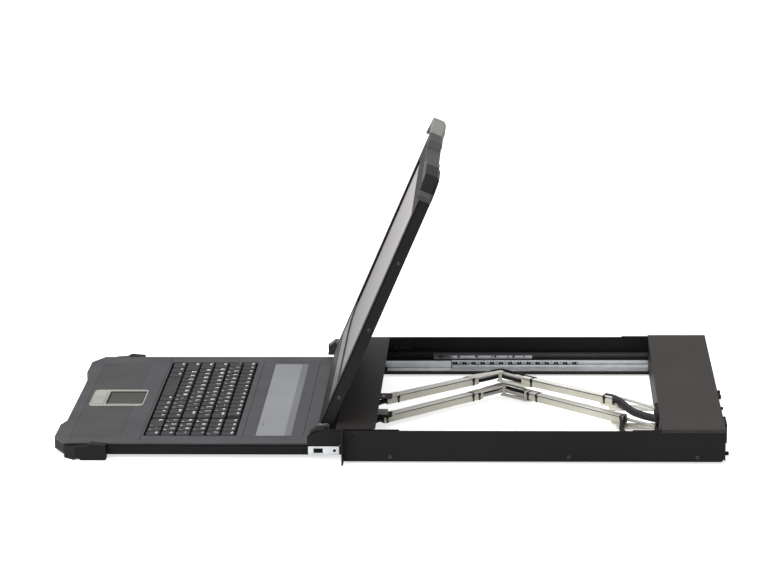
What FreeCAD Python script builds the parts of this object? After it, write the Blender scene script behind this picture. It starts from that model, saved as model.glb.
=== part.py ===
import FreeCAD, Part
import os
from math import acos, cos, degrees, hypot, radians, sin, tan

V = FreeCAD.Vector

# Rack interface: a 19 inch rack, one unit high. Millimetres throughout, angles in degrees.
rack_width = 482.6
bolt_inset = 8.75          # slot middles in from the ears' outer edges
bolt_spacing_z = 31.75
ear_height = 44.4
ear_reach = 19.3           # ears past the chassis on each side
ear_plate = 2.0
ear_leg_length = 34.0
ear_leg = 1.4
slot_radius = 3.4
slot_length = 11.0

# Chassis: two sheet rails joined by a box at the rear.
chassis_rear = 489.0
sheet = 1.2
rail_bottom = -21.5
rail_top = 19.5
rail_rise = 36.0           # the rail top rises to meet the cover this far in front of it
rail_foot = 50.0           # inward foot of each rail
rail_slot = (11.0, 16.0)   # slot through each rail behind its ear
cover_depth = 81.0
cover_top = 22.0
cover_skirt = 4.5
box_inset = 26.0           # rear box sides, inside the runners
corner_cut = 5.0

# Ball slides: a display pair above a tray pair on each side.
travel = 303.0
channel_depth = 6.0
channel_height = 8.7
channel_sheet = 1.0
channel_front = 40.0
display_channel_end = 49.0 # channel ends in front of the chassis's rear
tray_channel_end = 17.0
mount_depth = 7.5          # hat section that carries both channels on the rail
display_channel_top = -2.4
bed_sheet = 0.8            # bright foot of the tray channel, on the rail's foot
bed_reach = 38.0           # foot of the tray channel in from the chassis's side
ball_radius = 0.8
ball_play = 0.05
cage_sheet = 0.6
display_cage_span = (62.0, 244.5)
display_ball_pitch = 26.0
tray_cage_span = (85.0, 311.0)
tray_ball_pitch = 13.0
runner_gap = 0.9           # running gap between a runner plate and its channel's mouth

# Display carriage
carriage_gap = 5.0         # between the chassis's side and the carriage's
carriage_front = -45.0
carriage_arm_rear = 105.0
deck_front = -8.0
deck_rear = 42.6
deck_sheet = 1.2
apron_depth = 9.0
side_sheet = 1.5
side_knee = 11.0           # height at which the front edge of each side leans back
side_lean = 24.0
slide_gap = 0.4

# Display
display_lean = 66.25       # from the horizontal, as it stands open
hinge_y = -24.0
hinge_z = 8.0
hinge_pin_radius = 3.0
hinge_play = 0.05
knuckle_radius = 4.3
knuckle_length = 9.0
hinge_leaf = 70.0
display_inset = 3.0        # display's side in from the tray's
display_length = 354.0     # hinge axis to the corner blocks
display_thick = 15.4
display_front = 9.9        # screen side of the hinge axis
display_sheet = 1.2
display_screw_places = (52.0, 150.0, 246.0)
display_screw_z = 1.0
board_half = 90.0          # driver board behind the screen
board_span = (60.0, 150.0)
board_edge = 6.0           # stands in from a board's edges
bezel_thick = 2.4
bezel_side = 24.0
bezel_low = 30.0
bezel_high = 26.0
end_cap_length = 22.0
cap_reach = 10.0           # end cap past the tray's front when folded down
cap_overhang = 3.0         # cap past the tray's side
cap_notch = 50.0           # half width of the step in the cap's inner edge
cap_notch_depth = 8.0
cap_lip = 4.6              # lip that hangs over the tray's front edge
cap_play = 0.6
cap_bevel = 4.0
cap_flare = 3.0
rim_bevel = 1.0
pad_thick = 4.6
pad_setback = 9.0          # a corner pad starts this far down the block
block_step = 6.0           # how far the corner blocks stand out
block_width = 52.0
block_slope = 18.0
block_chamfer = 16.0
block_setback = 26.0       # flat end of a block in from the tray's side

# Keyboard tray
tray_inset = 22.0          # tray's side in from the chassis's
tray_rear = -8.0
tray_front = -378.0        # front of the corner blocks
tray_top = -3.5
tray_bottom = -19.2
tray_deck = 2.5
runner_sheet = 1.2
tray_runner_rear = 131.0
runner_top = -7.7
stop_front = -45.0
stop_rear = -5.0
stop_sheet = 1.2
tab_front = -362.0
tab_shoulder = 16.0        # length of the tab's slanted corner
tab_rear = -306.0
tab_reach = 12.0
tab_top = -3.9
tab_bottom = -24.0
tab_rise = 1.6             # ridge above the tab's rear top
tab_crest = -326.0
tab_slope = 6.0            # length of the ridge's front slope
tab_drop = 1.6             # from the tab's rear top to the foot of the ridge
tab_notch = (-347.0, -340.0)
tab_notch_depth = 1.8

# Keyboard
key_gap = 1.2
key_height = 6.0
key_taper = 1.6
key_front_taper = 1.3      # share of the side taper on a key's front face
key_rear_taper = 0.6
key_rise = 0.6             # key tops stand this far above the tray's deck
key_travel = 2.0
key_stem = (6.0, 4.0)      # stem under each key, guided by its row's groove
key_stem_reach = 1.5       # stem inside the groove with the key up
well_inset = 29.0          # key well in from the tray's sides
well_front = -262.5
well_rear = -141.0
well_margin = 1.6

# Palm rest, touchpad and lamp panel
palm_inset_left = 38.0     # palm rest in from the tray's sides
palm_inset_right = 17.0
palm_front = -358.0
palm_rear = -292.0
inset_depth = 0.8
pad_frame = (-35.0, 40.0, -353.0, -279.0)
pad_area = (-28.0, 31.0, -331.0, -281.0)
pad_corner = 7.0
pad_rise = 0.5
button_gap = 0.3
panel_inset_left = 37.5    # lamp panel in from the tray's sides
panel_inset_right = 30.0
panel_front = -116.0
panel_rear = -69.0
panel_depth = 1.0
seam_gap = 2.4             # fine groove across the deck in front of the key well
seam_inset = 8.0
groove_width = 0.8         # fine groove in the deck round the lamp panel
groove_depth = 0.6
groove_inset = 25.0
groove_front = -133.0
groove_rear = -53.0

# Cable arms: one pair for the display above one pair for the tray.
duct_width = 21.0
duct_height = 11.0
duct_wall = 1.2
duct_offset = 1.2          # inner duct wall to the line between the pivots
duct_tail = 8.0            # duct end to the arm's own pivot
duct_cut = 54.0            # duct end to the elbow
link_sheet = 1.2
link_half = 7.0
link_play = 0.4
arm_pin_radius = 2.5
arm_front_y = 46.0
display_arm_x = 62.0
display_arm_setback = 53.0 # rear pivot in front of the rear box
display_arm_reach = 122.0  # sideways from the pivots to the elbow
display_duct_bottom = 3.6
tray_arm_x = 74.0
tray_arm_setback = 43.0
tray_arm_reach = 140.0
tray_duct_bottom = -18.2
cable_radius = 2.4
lead_gap = 0.6
bundle_radius = 4.0
lead_bend = 0.27           # share of a lead's shorter run taken up by its bend

# Rear connectors
inlet_inset = 44.0         # power inlet in from the rear box's side
inlet_z = -2.0
switch_step = 30.0         # power switch beside the inlet
video_x = 60.0
usb_x = 10.0
port_z = -4.0
grommet_radius = 7.0

# Screws
screw_shank = 1.7
screw_head = 3.0
screw_head_height = 0.9

# Sizes that follow
chassis_half = rack_width / 2 - ear_reach
cover_front = chassis_rear - cover_depth
rail_step = cover_front - rail_rise
display_channel_rear = chassis_rear - display_channel_end
tray_channel_rear = chassis_rear - tray_channel_end
box_half = chassis_half - box_inset
bed_inner = chassis_half - bed_reach
carriage_half = chassis_half - carriage_gap
tray_half = chassis_half - tray_inset
display_half = tray_half - display_inset
cap_side = tray_half + cap_overhang
block_outer = tray_half - block_setback
block_inner = block_outer - block_width
well_half = tray_half - well_inset
palm_left = palm_inset_left - tray_half
palm_right = tray_half - palm_inset_right
panel_left = panel_inset_left - tray_half
panel_right = tray_half - panel_inset_right
groove_half = tray_half - groove_inset
key_pitch_y = (well_rear - well_front - 2 * well_margin) / 6
display_arm_rear_y = cover_front - display_arm_setback
tray_arm_rear_y = cover_front - tray_arm_setback
inlet_x = box_half - inlet_inset
switch_x = inlet_x - switch_step
wall_face = chassis_half - sheet
foot_top = rail_bottom + sheet
ear_outer = rack_width / 2
cover_under = cover_top - sheet
mount_face = wall_face - mount_depth
channel_mouth = mount_face - channel_depth
display_slide_z = display_channel_top - channel_height / 2
tray_slide_z = foot_top + bed_sheet / 2 + channel_height / 2
channel_clear = channel_height / 2 - channel_sheet
ball_line = channel_clear - ball_play - ball_radius
runner_half = ball_line - ball_radius - ball_play
arm_plate_outer = channel_mouth - runner_gap
arm_plate_inner = arm_plate_outer - side_sheet
display_back = display_front - display_thick
side_screw_z = tray_slide_z
deck_top = rail_top + deck_sheet
key_low = tray_top + key_rise - key_height

shapes = {}


def box(x0, x1, y0, y1, z0, z1):
    return Part.makeBox(x1 - x0, y1 - y0, z1 - z0, V(x0, y0, z0))


def rod(centre, direction, radius, length):
    return Part.makeCylinder(radius, length, centre, direction)


def mirrored(shape):
    return shape.mirror(V(0, 0, 0), V(1, 0, 0))


def rounded_wire(corners, place):
    """Closed wire through corners (a, b, radius); place puts (a, b) in space."""
    edges = []
    arcs = []
    count = len(corners)
    for index, (a, b, radius) in enumerate(corners):
        here = V(a, b, 0)
        before = V(corners[index - 1][0], corners[index - 1][1], 0) - here
        after_corner = corners[(index + 1) % count]
        after = V(after_corner[0], after_corner[1], 0) - here
        if radius == 0:
            arcs.append((here, here, here))
            continue
        half = before.getAngle(after) / 2
        before.normalize()
        after.normalize()
        bisector = before + after
        bisector.normalize()
        centre = here + bisector * (radius / sin(half))
        start = here + before * (radius / tan(half))
        end = here + after * (radius / tan(half))
        arcs.append((start, centre - bisector * radius, end))
    for index, (start, middle, end) in enumerate(arcs):
        if (start - end).Length > 1e-6:
            edges.append(Part.Arc(place(start), place(middle), place(end)).toShape())
        following = arcs[(index + 1) % count][0]
        if (end - following).Length > 1e-6:
            edges.append(Part.LineSegment(place(end), place(following)).toShape())
    return Part.Wire(edges)


def slab(corners, z0, z1):
    """Flat plate from an outline in plan."""
    wire = rounded_wire(corners, lambda p: V(p.x, p.y, z0))
    return Part.Face(wire).extrude(V(0, 0, z1 - z0))


def section_along_x(corners, x0, x1):
    """Bar along X from corners (y, z, radius)."""
    wire = rounded_wire(corners, lambda p: V(x0, p.x, p.y))
    return Part.Face(wire).extrude(V(x1 - x0, 0, 0))


def section_along_y(corners, y0, y1):
    """Bar along Y from corners (x, z, radius)."""
    wire = rounded_wire(corners, lambda p: V(p.x, y0, p.y))
    return Part.Face(wire).extrude(V(0, y1 - y0, 0))


def rounded_plate(x0, x1, y0, y1, z0, z1, radius):
    corners = [(x0, y0, radius), (x1, y0, radius), (x1, y1, radius), (x0, y1, radius)]
    return slab(corners, z0, z1)


def spread(first, last, pitch):
    """Places at a pitch, centred between two ends."""
    count = int((last - first) / pitch)
    start = (first + last - (count - 1) * pitch) / 2
    return [start + pitch * index for index in range(count)]


def both_sides(name, right):
    shapes["right_" + name] = right
    shapes["left_" + name] = mirrored(right)


def pair(right):
    return Part.makeCompound([right, mirrored(right)])


# ---- Chassis ----

def side_rail():
    upper = cover_under
    side = [(ear_plate, rail_bottom, 0), (chassis_rear - corner_cut, rail_bottom, 0),
            (chassis_rear, rail_bottom + corner_cut, 0), (chassis_rear, upper, 0),
            (rail_step, upper, 0), (rail_step - 1.5, rail_top, 0), (ear_plate, rail_top, 0)]
    rail = section_along_x(side, wall_face, chassis_half)
    foot = box(chassis_half - rail_foot, chassis_half, ear_plate, chassis_rear - corner_cut,
               rail_bottom, foot_top)
    rail = rail.fuse(foot).removeSplitter()
    window = box(wall_face - 1, chassis_half + 1, *rail_slot, 10.8, 14.2)
    rail = rail.cut(window)
    for y in side_screw_places():
        rail = rail.cut(rod(V(wall_face - 1, y, side_screw_z), V(1, 0, 0), screw_shank, sheet + 2))
    return rail


def side_screw_places():
    return [channel_front + 21.5, cover_front - 118.0, chassis_rear - 35.5]


def rack_ear():
    half = ear_height / 2
    outline = [(wall_face - ear_leg, -half, 0), (ear_outer, -half, 3), (ear_outer, half, 3),
               (wall_face - ear_leg, half, 0)]
    plate = section_along_y(outline, 0, ear_plate)
    for z in (-bolt_spacing_z / 2, bolt_spacing_z / 2):
        reach = slot_length / 2 - slot_radius
        middle = ear_outer - bolt_inset
        slot = box(middle - reach, middle + reach, -1, ear_plate + 1, z - slot_radius,
                   z + slot_radius)
        for x in (middle - reach, middle + reach):
            slot = slot.fuse(rod(V(x, -1, z), V(0, 1, 0), slot_radius, ear_plate + 2))
        plate = plate.cut(slot)
    leg = box(wall_face - ear_leg, wall_face, ear_plate, ear_plate + ear_leg_length, foot_top,
              rail_top - 1)
    return plate.fuse(leg).removeSplitter()


def pan_screw(seat, direction, length):
    """Low screw: seat is where the head meets the sheet, direction points out of the head."""
    head = Part.makeCone(screw_head, screw_head - 0.8, screw_head_height)
    shank = Part.makeCylinder(screw_shank - 0.1, length, V(0, 0, -length))
    screw = head.fuse(shank)
    screw.Placement = FreeCAD.Placement(seat, FreeCAD.Rotation(V(0, 0, 1), direction))
    return screw


def slide_mount():
    top = display_channel_top
    outline = [(wall_face, foot_top, 0), (mount_face, foot_top, 0.8), (mount_face, top, 0.8),
               (wall_face, top, 0), (wall_face, top - sheet, 0), (mount_face + sheet, top - sheet, 0),
               (mount_face + sheet, foot_top + sheet, 0), (wall_face, foot_top + sheet, 0)]
    mount = section_along_y(outline, channel_front, tray_channel_rear)
    return mount


def channel(middle_z, rear, bed):
    """C channel whose mouth faces the middle of the drawer."""
    half = channel_height / 2
    low = middle_z - half
    high = middle_z + half
    back = mount_face
    mouth = channel_mouth
    inner_low = low + channel_sheet
    if bed:
        low = foot_top
        mouth_low = bed_inner
        step = foot_top + bed_sheet
    else:
        mouth_low = mouth
        step = inner_low
    lip = 0.7
    inner_back = back - channel_sheet
    inner_mouth = mouth + channel_sheet
    inner_high = high - channel_sheet
    outline = [(back, low, 0), (back, high, 0.6), (mouth, high, 0.6), (mouth, inner_high - lip, 0),
               (inner_mouth, inner_high - lip, 0), (inner_mouth, inner_high, 0), (inner_back, inner_high, 0),
               (inner_back, inner_low, 0), (inner_mouth, inner_low, 0), (inner_mouth, inner_low + lip, 0),
               (mouth, inner_low + lip, 0)]
    if bed:
        outline += [(mouth, step, 0), (mouth_low, step, 0), (mouth_low, low, 0)]
    else:
        outline += [(mouth, low, 0.6)]
    return section_along_y(outline, channel_front, rear)


def ball_cage(middle_z, span, pitch, window):
    """U strip that keeps the balls apart, with a window at each ball."""
    first, last = span
    back = mount_face - channel_sheet - 0.2
    reach = channel_depth - channel_sheet - 2.2
    half = ball_line + cage_sheet / 2
    inner = half - cage_sheet
    mouth = back - reach
    outline = [(back, -half, 0.3), (back, half, 0.3), (mouth, half, 0), (mouth, inner, 0),
               (back - cage_sheet, inner, 0), (back - cage_sheet, -inner, 0), (mouth, -inner, 0),
               (mouth, -half, 0)]
    corners = [(x, z + middle_z, radius) for x, z, radius in outline]
    cage = section_along_y(corners, first, last)
    cuts = []
    ball_x = mouth + ball_radius + 0.5
    for y in spread(first + 3, last - 3, pitch):
        cuts.append(box(back - 1, back + 1, y - window / 2, y + window / 2, middle_z - 1.3, middle_z + 1.3))
        for side in (-1, 1):
            z = middle_z + side * ball_line
            hole = ball_radius + 0.1
            cuts.append(box(ball_x - hole, ball_x + hole, y - hole, y + hole, z - 1, z + 1))
    return cage.cut(Part.makeCompound(cuts))


def rear_box():
    base = box(-box_half, box_half, cover_front, chassis_rear - sheet, foot_top, foot_top + sheet)
    front = box(-box_half, box_half, cover_front, cover_front + sheet, foot_top, cover_under)
    sides = pair(box(box_half - sheet, box_half, cover_front, chassis_rear - sheet, foot_top, cover_under))
    shell = base.fuse(front).fuse(sides).removeSplitter()
    bed = box(bed_inner - 0.3, box_half + 1, cover_front - 1, tray_channel_rear + 0.3, foot_top - 1,
              foot_top + bed_sheet + 0.3)
    shell = shell.cut(pair(bed))
    for x, z in cable_ports():
        shell = shell.cut(rod(V(x, cover_front - 1, z), V(0, 1, 0), grommet_radius, sheet + 2))
    return shell


def cable_ports():
    return [(display_arm_x + 30, display_duct_bottom + duct_height / 2),
            (tray_arm_x + 44, tray_duct_bottom + duct_height / 2 + 1)]


def rear_cover():
    outer = chassis_half + sheet
    top = box(-outer, outer, cover_front, chassis_rear, cover_under, cover_top)
    skirt = box(chassis_half, outer, cover_front, chassis_rear, cover_top - cover_skirt, cover_top)
    cover = top.fuse(pair(skirt)).removeSplitter()
    return cover


def rear_panel():
    y0 = chassis_rear - sheet
    panel = box(-wall_face, wall_face, y0, chassis_rear, foot_top, cover_under)
    holes = [box(inlet_x - 14, inlet_x + 14, y0 - 1, chassis_rear + 1, inlet_z - 10.5, inlet_z + 10.5),
             box(switch_x - 7, switch_x + 7, y0 - 1, chassis_rear + 1, inlet_z - 10, inlet_z + 10),
             box(video_x - 9, video_x + 9, y0 - 1, chassis_rear + 1, port_z - 5, port_z + 5),
             box(usb_x - 7, usb_x + 7, y0 - 1, chassis_rear + 1, port_z - 8, port_z + 8)]
    return panel.cut(Part.makeCompound(holes))


def power_inlet():
    """Three pin appliance inlet: a flanged shroud with an open recess."""
    y0 = chassis_rear
    flange = rounded_plate(inlet_x - 17, inlet_x + 17, inlet_z - 12.5, inlet_z + 12.5, 0, 2.4, 3)
    flange.Placement = FreeCAD.Placement(V(0, y0 + 2.4, 0), FreeCAD.Rotation(V(1, 0, 0), 90))
    body = box(inlet_x - 13.5, inlet_x + 13.5, y0 - 16, y0 + 2.4, inlet_z - 10, inlet_z + 10)
    half = [(12, -8), (12, 3.5), (7.5, 8)]
    recess = [(inlet_x + x, inlet_z + z, 0) for x, z in half]
    recess += [(inlet_x - x, inlet_z + z, 0) for x, z in reversed(half)]
    inlet = flange.fuse(body).removeSplitter().cut(section_along_y(recess, y0 - 14, y0 + 3))
    for x, z in ((-7, -2), (0, 2), (7, -2)):
        blade = box(inlet_x + x - 1, inlet_x + x + 1, y0 - 14.5, y0 - 1, inlet_z + z - 2, inlet_z + z + 2)
        inlet = inlet.fuse(blade)
    return inlet


def power_switch():
    """Rocker that tips about an axis across the panel."""
    x = switch_x
    y0 = chassis_rear
    profile = [(y0 - 5, inlet_z - 8.3, 1), (y0 + 1.2, inlet_z - 8.3, 0.6), (y0 + 2.6, inlet_z, 0),
               (y0 + 4.4, inlet_z + 8.3, 0.6), (y0 - 5, inlet_z + 8.3, 1)]
    return section_along_x(profile, x - 5.6, x + 5.6)


def switch_frame():
    x = switch_x
    y0 = chassis_rear
    body = box(x - 6.8, x + 6.8, y0 - 14, y0 + 1.4, inlet_z - 9.8, inlet_z + 9.8)
    return body.cut(box(x - 6, x + 6, y0 - 8, y0 + 2, inlet_z - 9.2, inlet_z + 9.2))


def video_port():
    """Fifteen pin socket: a D shaped shell with a screw post at each end."""
    y0 = chassis_rear
    outline = [(video_x - 8.2, port_z + 4, 1.6), (video_x - 7, port_z - 4, 1.6),
               (video_x + 7, port_z - 4, 1.6), (video_x + 8.2, port_z + 4, 1.6)]
    shell = section_along_y(outline, y0 - 8, y0 + 5.6)
    face = rounded_plate(video_x - 15.4, video_x + 15.4, port_z - 6, port_z + 6, 0, 0.8, 1.5)
    face.Placement = FreeCAD.Placement(V(0, y0 + 0.8, 0), FreeCAD.Rotation(V(1, 0, 0), 90))
    port = shell.fuse(face).removeSplitter()
    pins = []
    for row, count in ((-2, 5), (0, 5), (2, 5)):
        for column in range(count):
            x = video_x + (column - (count - 1) / 2) * 2.3
            pins.append(box(x - 0.4, x + 0.4, y0 + 3, y0 + 6, port_z + row - 0.4, port_z + row + 0.4))
    return port.cut(Part.makeCompound(pins))


def port_posts():
    posts = []
    for side in (-12.5, 12.5):
        seat = V(video_x + side, chassis_rear + 0.8, port_z)
        corners = [V(2.6 * cos(radians(60 * k)), 0, 2.6 * sin(radians(60 * k))) for k in range(7)]
        post = Part.Face(Part.makePolygon([seat + corner for corner in corners])).extrude(V(0, 4.6, 0))
        posts.append(post.cut(rod(seat + V(0, 1, 0), V(0, 1, 0), 1.3, 6)))
    return Part.makeCompound(posts)


def usb_ports():
    y0 = chassis_rear
    port = box(usb_x - 6.6, usb_x + 6.6, y0 - 14, y0 + 1.2, port_z - 7.6, port_z + 7.6)
    for z in (-3.6, 3.6):
        port = port.cut(box(usb_x - 5.8, usb_x + 5.8, y0 - 10, y0 + 2, port_z + z - 2.6, port_z + z + 2.6))
        port = port.fuse(box(usb_x - 5.4, usb_x + 5.4, y0 - 11, y0, port_z + z - 0.2, port_z + z + 1.6))
    return port


def main_board():
    base = foot_top + sheet
    left = usb_x - 70
    right = box_half - 12
    front = cover_front + 8
    rear = chassis_rear - 18
    board = box(left, right, front, rear, base + 5, base + 6.6)
    stands = []
    for x in (left + board_edge, right - board_edge):
        for y in (front + board_edge, rear - board_edge):
            stands.append(rod(V(x, y, base), V(0, 0, 1), 2.6, 5))
    parts = [box(inlet_x - 34, inlet_x + 18, cover_front + 12, cover_front + 40, base + 6.6, base + 24),
             box(0, 30, cover_front + 16, cover_front + 44, base + 6.6, base + 9),
             box(56, 78, cover_front + 18, cover_front + 36, base + 6.6, base + 9)]
    whole = board
    for piece in stands + parts:
        whole = whole.fuse(piece)
    return whole.removeSplitter()


def chassis_screws():
    screws = []
    for y in side_screw_places():
        screw = pan_screw(V(chassis_half, y, side_screw_z), V(1, 0, 0), sheet)
        screws += [screw, mirrored(screw)]
    return Part.makeCompound(screws)


def grommets():
    rings = []
    for x, z in cable_ports():
        ring = rod(V(x, cover_front - 1.5, z), V(0, 1, 0), grommet_radius - 0.1, sheet + 3)
        lip = rod(V(x, cover_front - 2.5, z), V(0, 1, 0), grommet_radius + 1.2, 2.5)
        rings.append(lip.fuse(ring).cut(rod(V(x, cover_front - 4, z), V(0, 1, 0), grommet_radius - 2, 10)))
    return Part.makeCompound(rings)


# ---- Display carriage ----

def carriage_side():
    """Bent sheet: outer wall, shelf over the slide and the plate that covers the slide's mouth."""
    base = display_channel_top + slide_gap
    front = carriage_front
    wall = [(front, base, 0), (carriage_arm_rear, base, 0), (carriage_arm_rear - 3, base + 3.4, 0),
            (deck_rear + 34, base + 3.4, 0), (deck_rear + 31, rail_top, 2), (front + side_lean, rail_top, 1),
            (front, side_knee, 2)]
    side = section_along_x(wall, carriage_half - side_sheet, carriage_half)
    shelf = box(arm_plate_inner, carriage_half, front, carriage_arm_rear, base, base + side_sheet)
    plate_front = ear_plate
    plate_low = display_slide_z - channel_height / 2 - 0.2
    plate = [(plate_front, base + side_sheet, 0), (plate_front, plate_low, 3),
             (carriage_arm_rear, plate_low, 3), (carriage_arm_rear, base + side_sheet, 0)]
    arm = section_along_x(plate, arm_plate_inner, arm_plate_outer)
    return side.fuse(shelf).fuse(arm).removeSplitter()


def display_runner():
    bar = box(arm_plate_outer, runner_bar_end(), channel_front + 8, carriage_arm_rear,
              display_slide_z - runner_half, display_slide_z + runner_half)
    return bar


def runner_bar_end():
    return mount_face - channel_sheet - 0.2 - cage_sheet - 0.3


def carriage_deck():
    half = carriage_half
    plate = slab([(-half, deck_front, 2), (half, deck_front, 2), (half, deck_rear, 6), (-half, deck_rear, 6)],
                 rail_top, deck_top)
    apron = box(side_sheet - half, half - side_sheet, deck_front, deck_front + deck_sheet,
                rail_top - apron_depth, rail_top)
    return plate.fuse(apron).removeSplitter()


def hinge_block():
    inner = display_half + 1.2
    outer = carriage_half - side_sheet
    low = display_channel_top + slide_gap + side_sheet
    profile = [(hinge_y - 19, low, 0), (hinge_y - 19, hinge_z + 4, 4), (hinge_y - 11, rail_top - 1, 3),
               (hinge_y + 2, rail_top - 1, 4), (hinge_y + 10, low + 6, 3), (hinge_y + 10, low, 0)]
    block = section_along_x(profile, inner, outer)
    pin = rod(V(inner - 10, hinge_y, hinge_z), V(1, 0, 0), hinge_pin_radius, 12)
    return block.fuse(pin)


def hinge_trim():
    """Bright leaf against the inner face of each hinge block."""
    x0 = display_half + 0.4
    leaf = section_along_x([(hinge_y - 8, hinge_z - 4, 2), (hinge_y + 7, hinge_z - 4, 2),
                            (hinge_y + 7, rail_top + 2, 3), (hinge_y - 8, rail_top + 2, 3)], x0, x0 + 0.8)
    return leaf.cut(rod(V(x0 - 1, hinge_y, hinge_z), V(1, 0, 0), hinge_pin_radius + 0.05, 3))


def hinge_trough():
    """Cross member under the display's foot, from side to side."""
    half = arm_plate_inner - 0.6
    low = display_channel_top + slide_gap
    front = hinge_y + 9
    rear = deck_front + 1
    high = rail_top - apron_depth - 0.5
    profile = [(front, low, 0), (rear, low, 0), (rear, high, 0), (rear - deck_sheet, high, 0),
               (rear - deck_sheet, low + deck_sheet, 0), (front, low + deck_sheet, 0)]
    return section_along_x(profile, -half, half)


def carriage_stops():
    """Buffer brackets behind the deck, on each arm, with their bolts."""
    base = display_channel_top + slide_gap + side_sheet
    x1 = carriage_half - side_sheet
    bracket = box(x1 - 9, x1, deck_rear + 4, deck_rear + 24, base, base + 1.5)
    upright = box(x1 - 1.5, x1, deck_rear + 4, deck_rear + 24, base, rail_top - 4)
    bolt = rod(V(x1 - 6.5, deck_rear + 9, base + 8), V(1, 0, 0), 3.2, 5)
    second = rod(V(x1 - 6.5, deck_rear + 18, base + 8), V(1, 0, 0), 3.2, 5)
    return pair(bracket.fuse(upright).fuse(bolt).fuse(second).removeSplitter())


def link_tongue(arm, front):
    """Strip with a long slot that carries an arm's front pin."""
    half = 12.0
    rear = arm_front_y + 12.0
    low = arm.tongue_z()
    high = low + link_sheet
    strip = slab([(arm.x - half, front, 0), (arm.x + half, front, 0), (arm.x + half, rear, 5),
                  (arm.x - half, rear, 5)], low, high)
    slot_half = arm_pin_radius + 0.4
    slot = rounded_plate(arm.x - slot_half, arm.x + slot_half, arm_front_y - arm.slot_reach() - slot_half,
                         arm_front_y + slot_half, low - 1, high + 1, slot_half - 0.01)
    return strip.cut(slot)


# ---- Display ----

def stand_up(shape):
    """Turn a piece drawn flat about the hinge axis into the open display."""
    shape.rotate(V(0, 0, 0), V(1, 0, 0), display_lean)
    shape.translate(V(0, hinge_y, hinge_z))
    return shape


def front_outline(half, end, grow):
    """Plan outline shared by the display's free end and the tray's front, as (x, distance, radius)."""
    shift = grow * tan(radians(22.5))
    side = end - block_chamfer - (half - tray_half) + shift
    recess = end - block_step + grow
    right = [(half, side, 3), (block_outer + shift, end + grow, 4),
             (block_inner - shift / 2, end + grow, 2), (block_inner - block_slope, recess, 2)]
    left = [(-x, d, radius) for x, d, radius in reversed(right)]
    return right + left


def display_plan(inset, start):
    end = display_length - end_cap_length
    half = display_half - inset
    return [(-half, start, 0), (half, start, 0), (half, end, 0), (-half, end, 0)]


def display_shell():
    foot = -2.0
    outer = slab(display_plan(0, foot), display_back, display_front - bezel_thick)
    x1 = display_half - display_sheet
    inner = box(-x1, x1, foot + display_sheet, display_length, display_back + display_sheet, display_front)
    edges = [edge for edge in outer.Edges if abs(edge.CenterOfMass.z - display_back) < 0.01
             and abs(edge.CenterOfMass.y - (display_length - end_cap_length)) > 1]
    outer = outer.makeFillet(1.0, edges)
    shell = outer.cut(inner)
    cuts = [rod(V(-display_half - 1, 0, 0), V(1, 0, 0), hinge_pin_radius + 0.3, 2 * display_half + 2)]
    knuckle = rod(V(x1 - knuckle_length - 0.1, 0, 0), V(1, 0, 0), knuckle_radius + 0.1, knuckle_length + 0.2)
    cuts.append(pair(knuckle))
    for y in display_screw_places:
        cuts.append(pair(rod(V(x1 - 1, y, display_screw_z), V(1, 0, 0), screw_shank, 3)))
    return stand_up(shell.cut(Part.makeCompound(cuts)))


def display_hinges():
    """Steel knuckle with its leaf along the inside of each side of the shell."""
    x1 = display_half - display_sheet
    radius = knuckle_radius
    knuckle = rod(V(x1 - knuckle_length, 0, 0), V(1, 0, 0), radius, knuckle_length)
    leaf = box(x1 - knuckle_length, x1, 0, hinge_leaf, 0.2 - radius, 2.0 - radius)
    brace = box(x1 - 1.5, x1, 0, hinge_leaf, 0.2 - radius, radius)
    for y in display_screw_places:
        brace = brace.cut(rod(V(x1 - 2, y, display_screw_z), V(1, 0, 0), screw_shank, 3))
    hinge = knuckle.fuse(leaf).fuse(brace).removeSplitter()
    bore = rod(V(x1 - knuckle_length - 1, 0, 0), V(1, 0, 0), hinge_pin_radius + hinge_play,
               knuckle_length + 2)
    return stand_up(pair(hinge.cut(bore)))


def display_bezel():
    foot = -2.0
    outer = slab(display_plan(0, foot), display_front - bezel_thick, display_front)
    edges = [edge for edge in outer.Edges if abs(edge.CenterOfMass.z - display_front) < 0.01
             and abs(edge.CenterOfMass.y - (display_length - end_cap_length)) > 1]
    outer = outer.makeFillet(1.0, edges)
    left, right, low, high = screen_window()
    opening = rounded_plate(left, right, low, high, display_front - bezel_thick - 1, display_front + 1, 1.0)
    return stand_up(outer.cut(opening))


def screen_window():
    return (-display_half + bezel_side, display_half - bezel_side, bezel_low,
            display_length - end_cap_length - bezel_high)


def display_screen():
    left, right, low, high = screen_window()
    margin = 5.0
    top = display_front - bezel_thick
    glass = box(left - margin, right + margin, low - margin, high + margin, top - 5.5, top - 0.05)
    return stand_up(glass)


def display_board():
    """Driver board behind the screen."""
    back = display_back + display_sheet
    near, far = board_span
    board = box(-board_half, board_half, near, far, back + 2.2, back + 3.6)
    for x in (board_edge - board_half, board_half - board_edge):
        for y in (near + board_edge, far - board_edge):
            board = board.fuse(rod(V(x, y, back), V(0, 0, 1), 2.5, 2.2))
    return stand_up(board)


def cap_outline(grow):
    return front_outline(cap_side + grow, display_length, cap_reach + grow)


def cap_wire(grow, z):
    """Outline of the end cap, drawn in by grow along its bevels and free end."""
    start = display_length - end_cap_length + 0.1
    whole = cap_outline(grow)
    side = whole[0][0]
    flank = min(display_half, side - 0.5)
    foot = [(-side, start + cap_flare, 1), (-flank, start, 0), (flank, start, 0),
            (side, start + cap_flare, 1)]
    return rounded_wire(foot + whole, lambda p: V(p.x, p.y, z))


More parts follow.
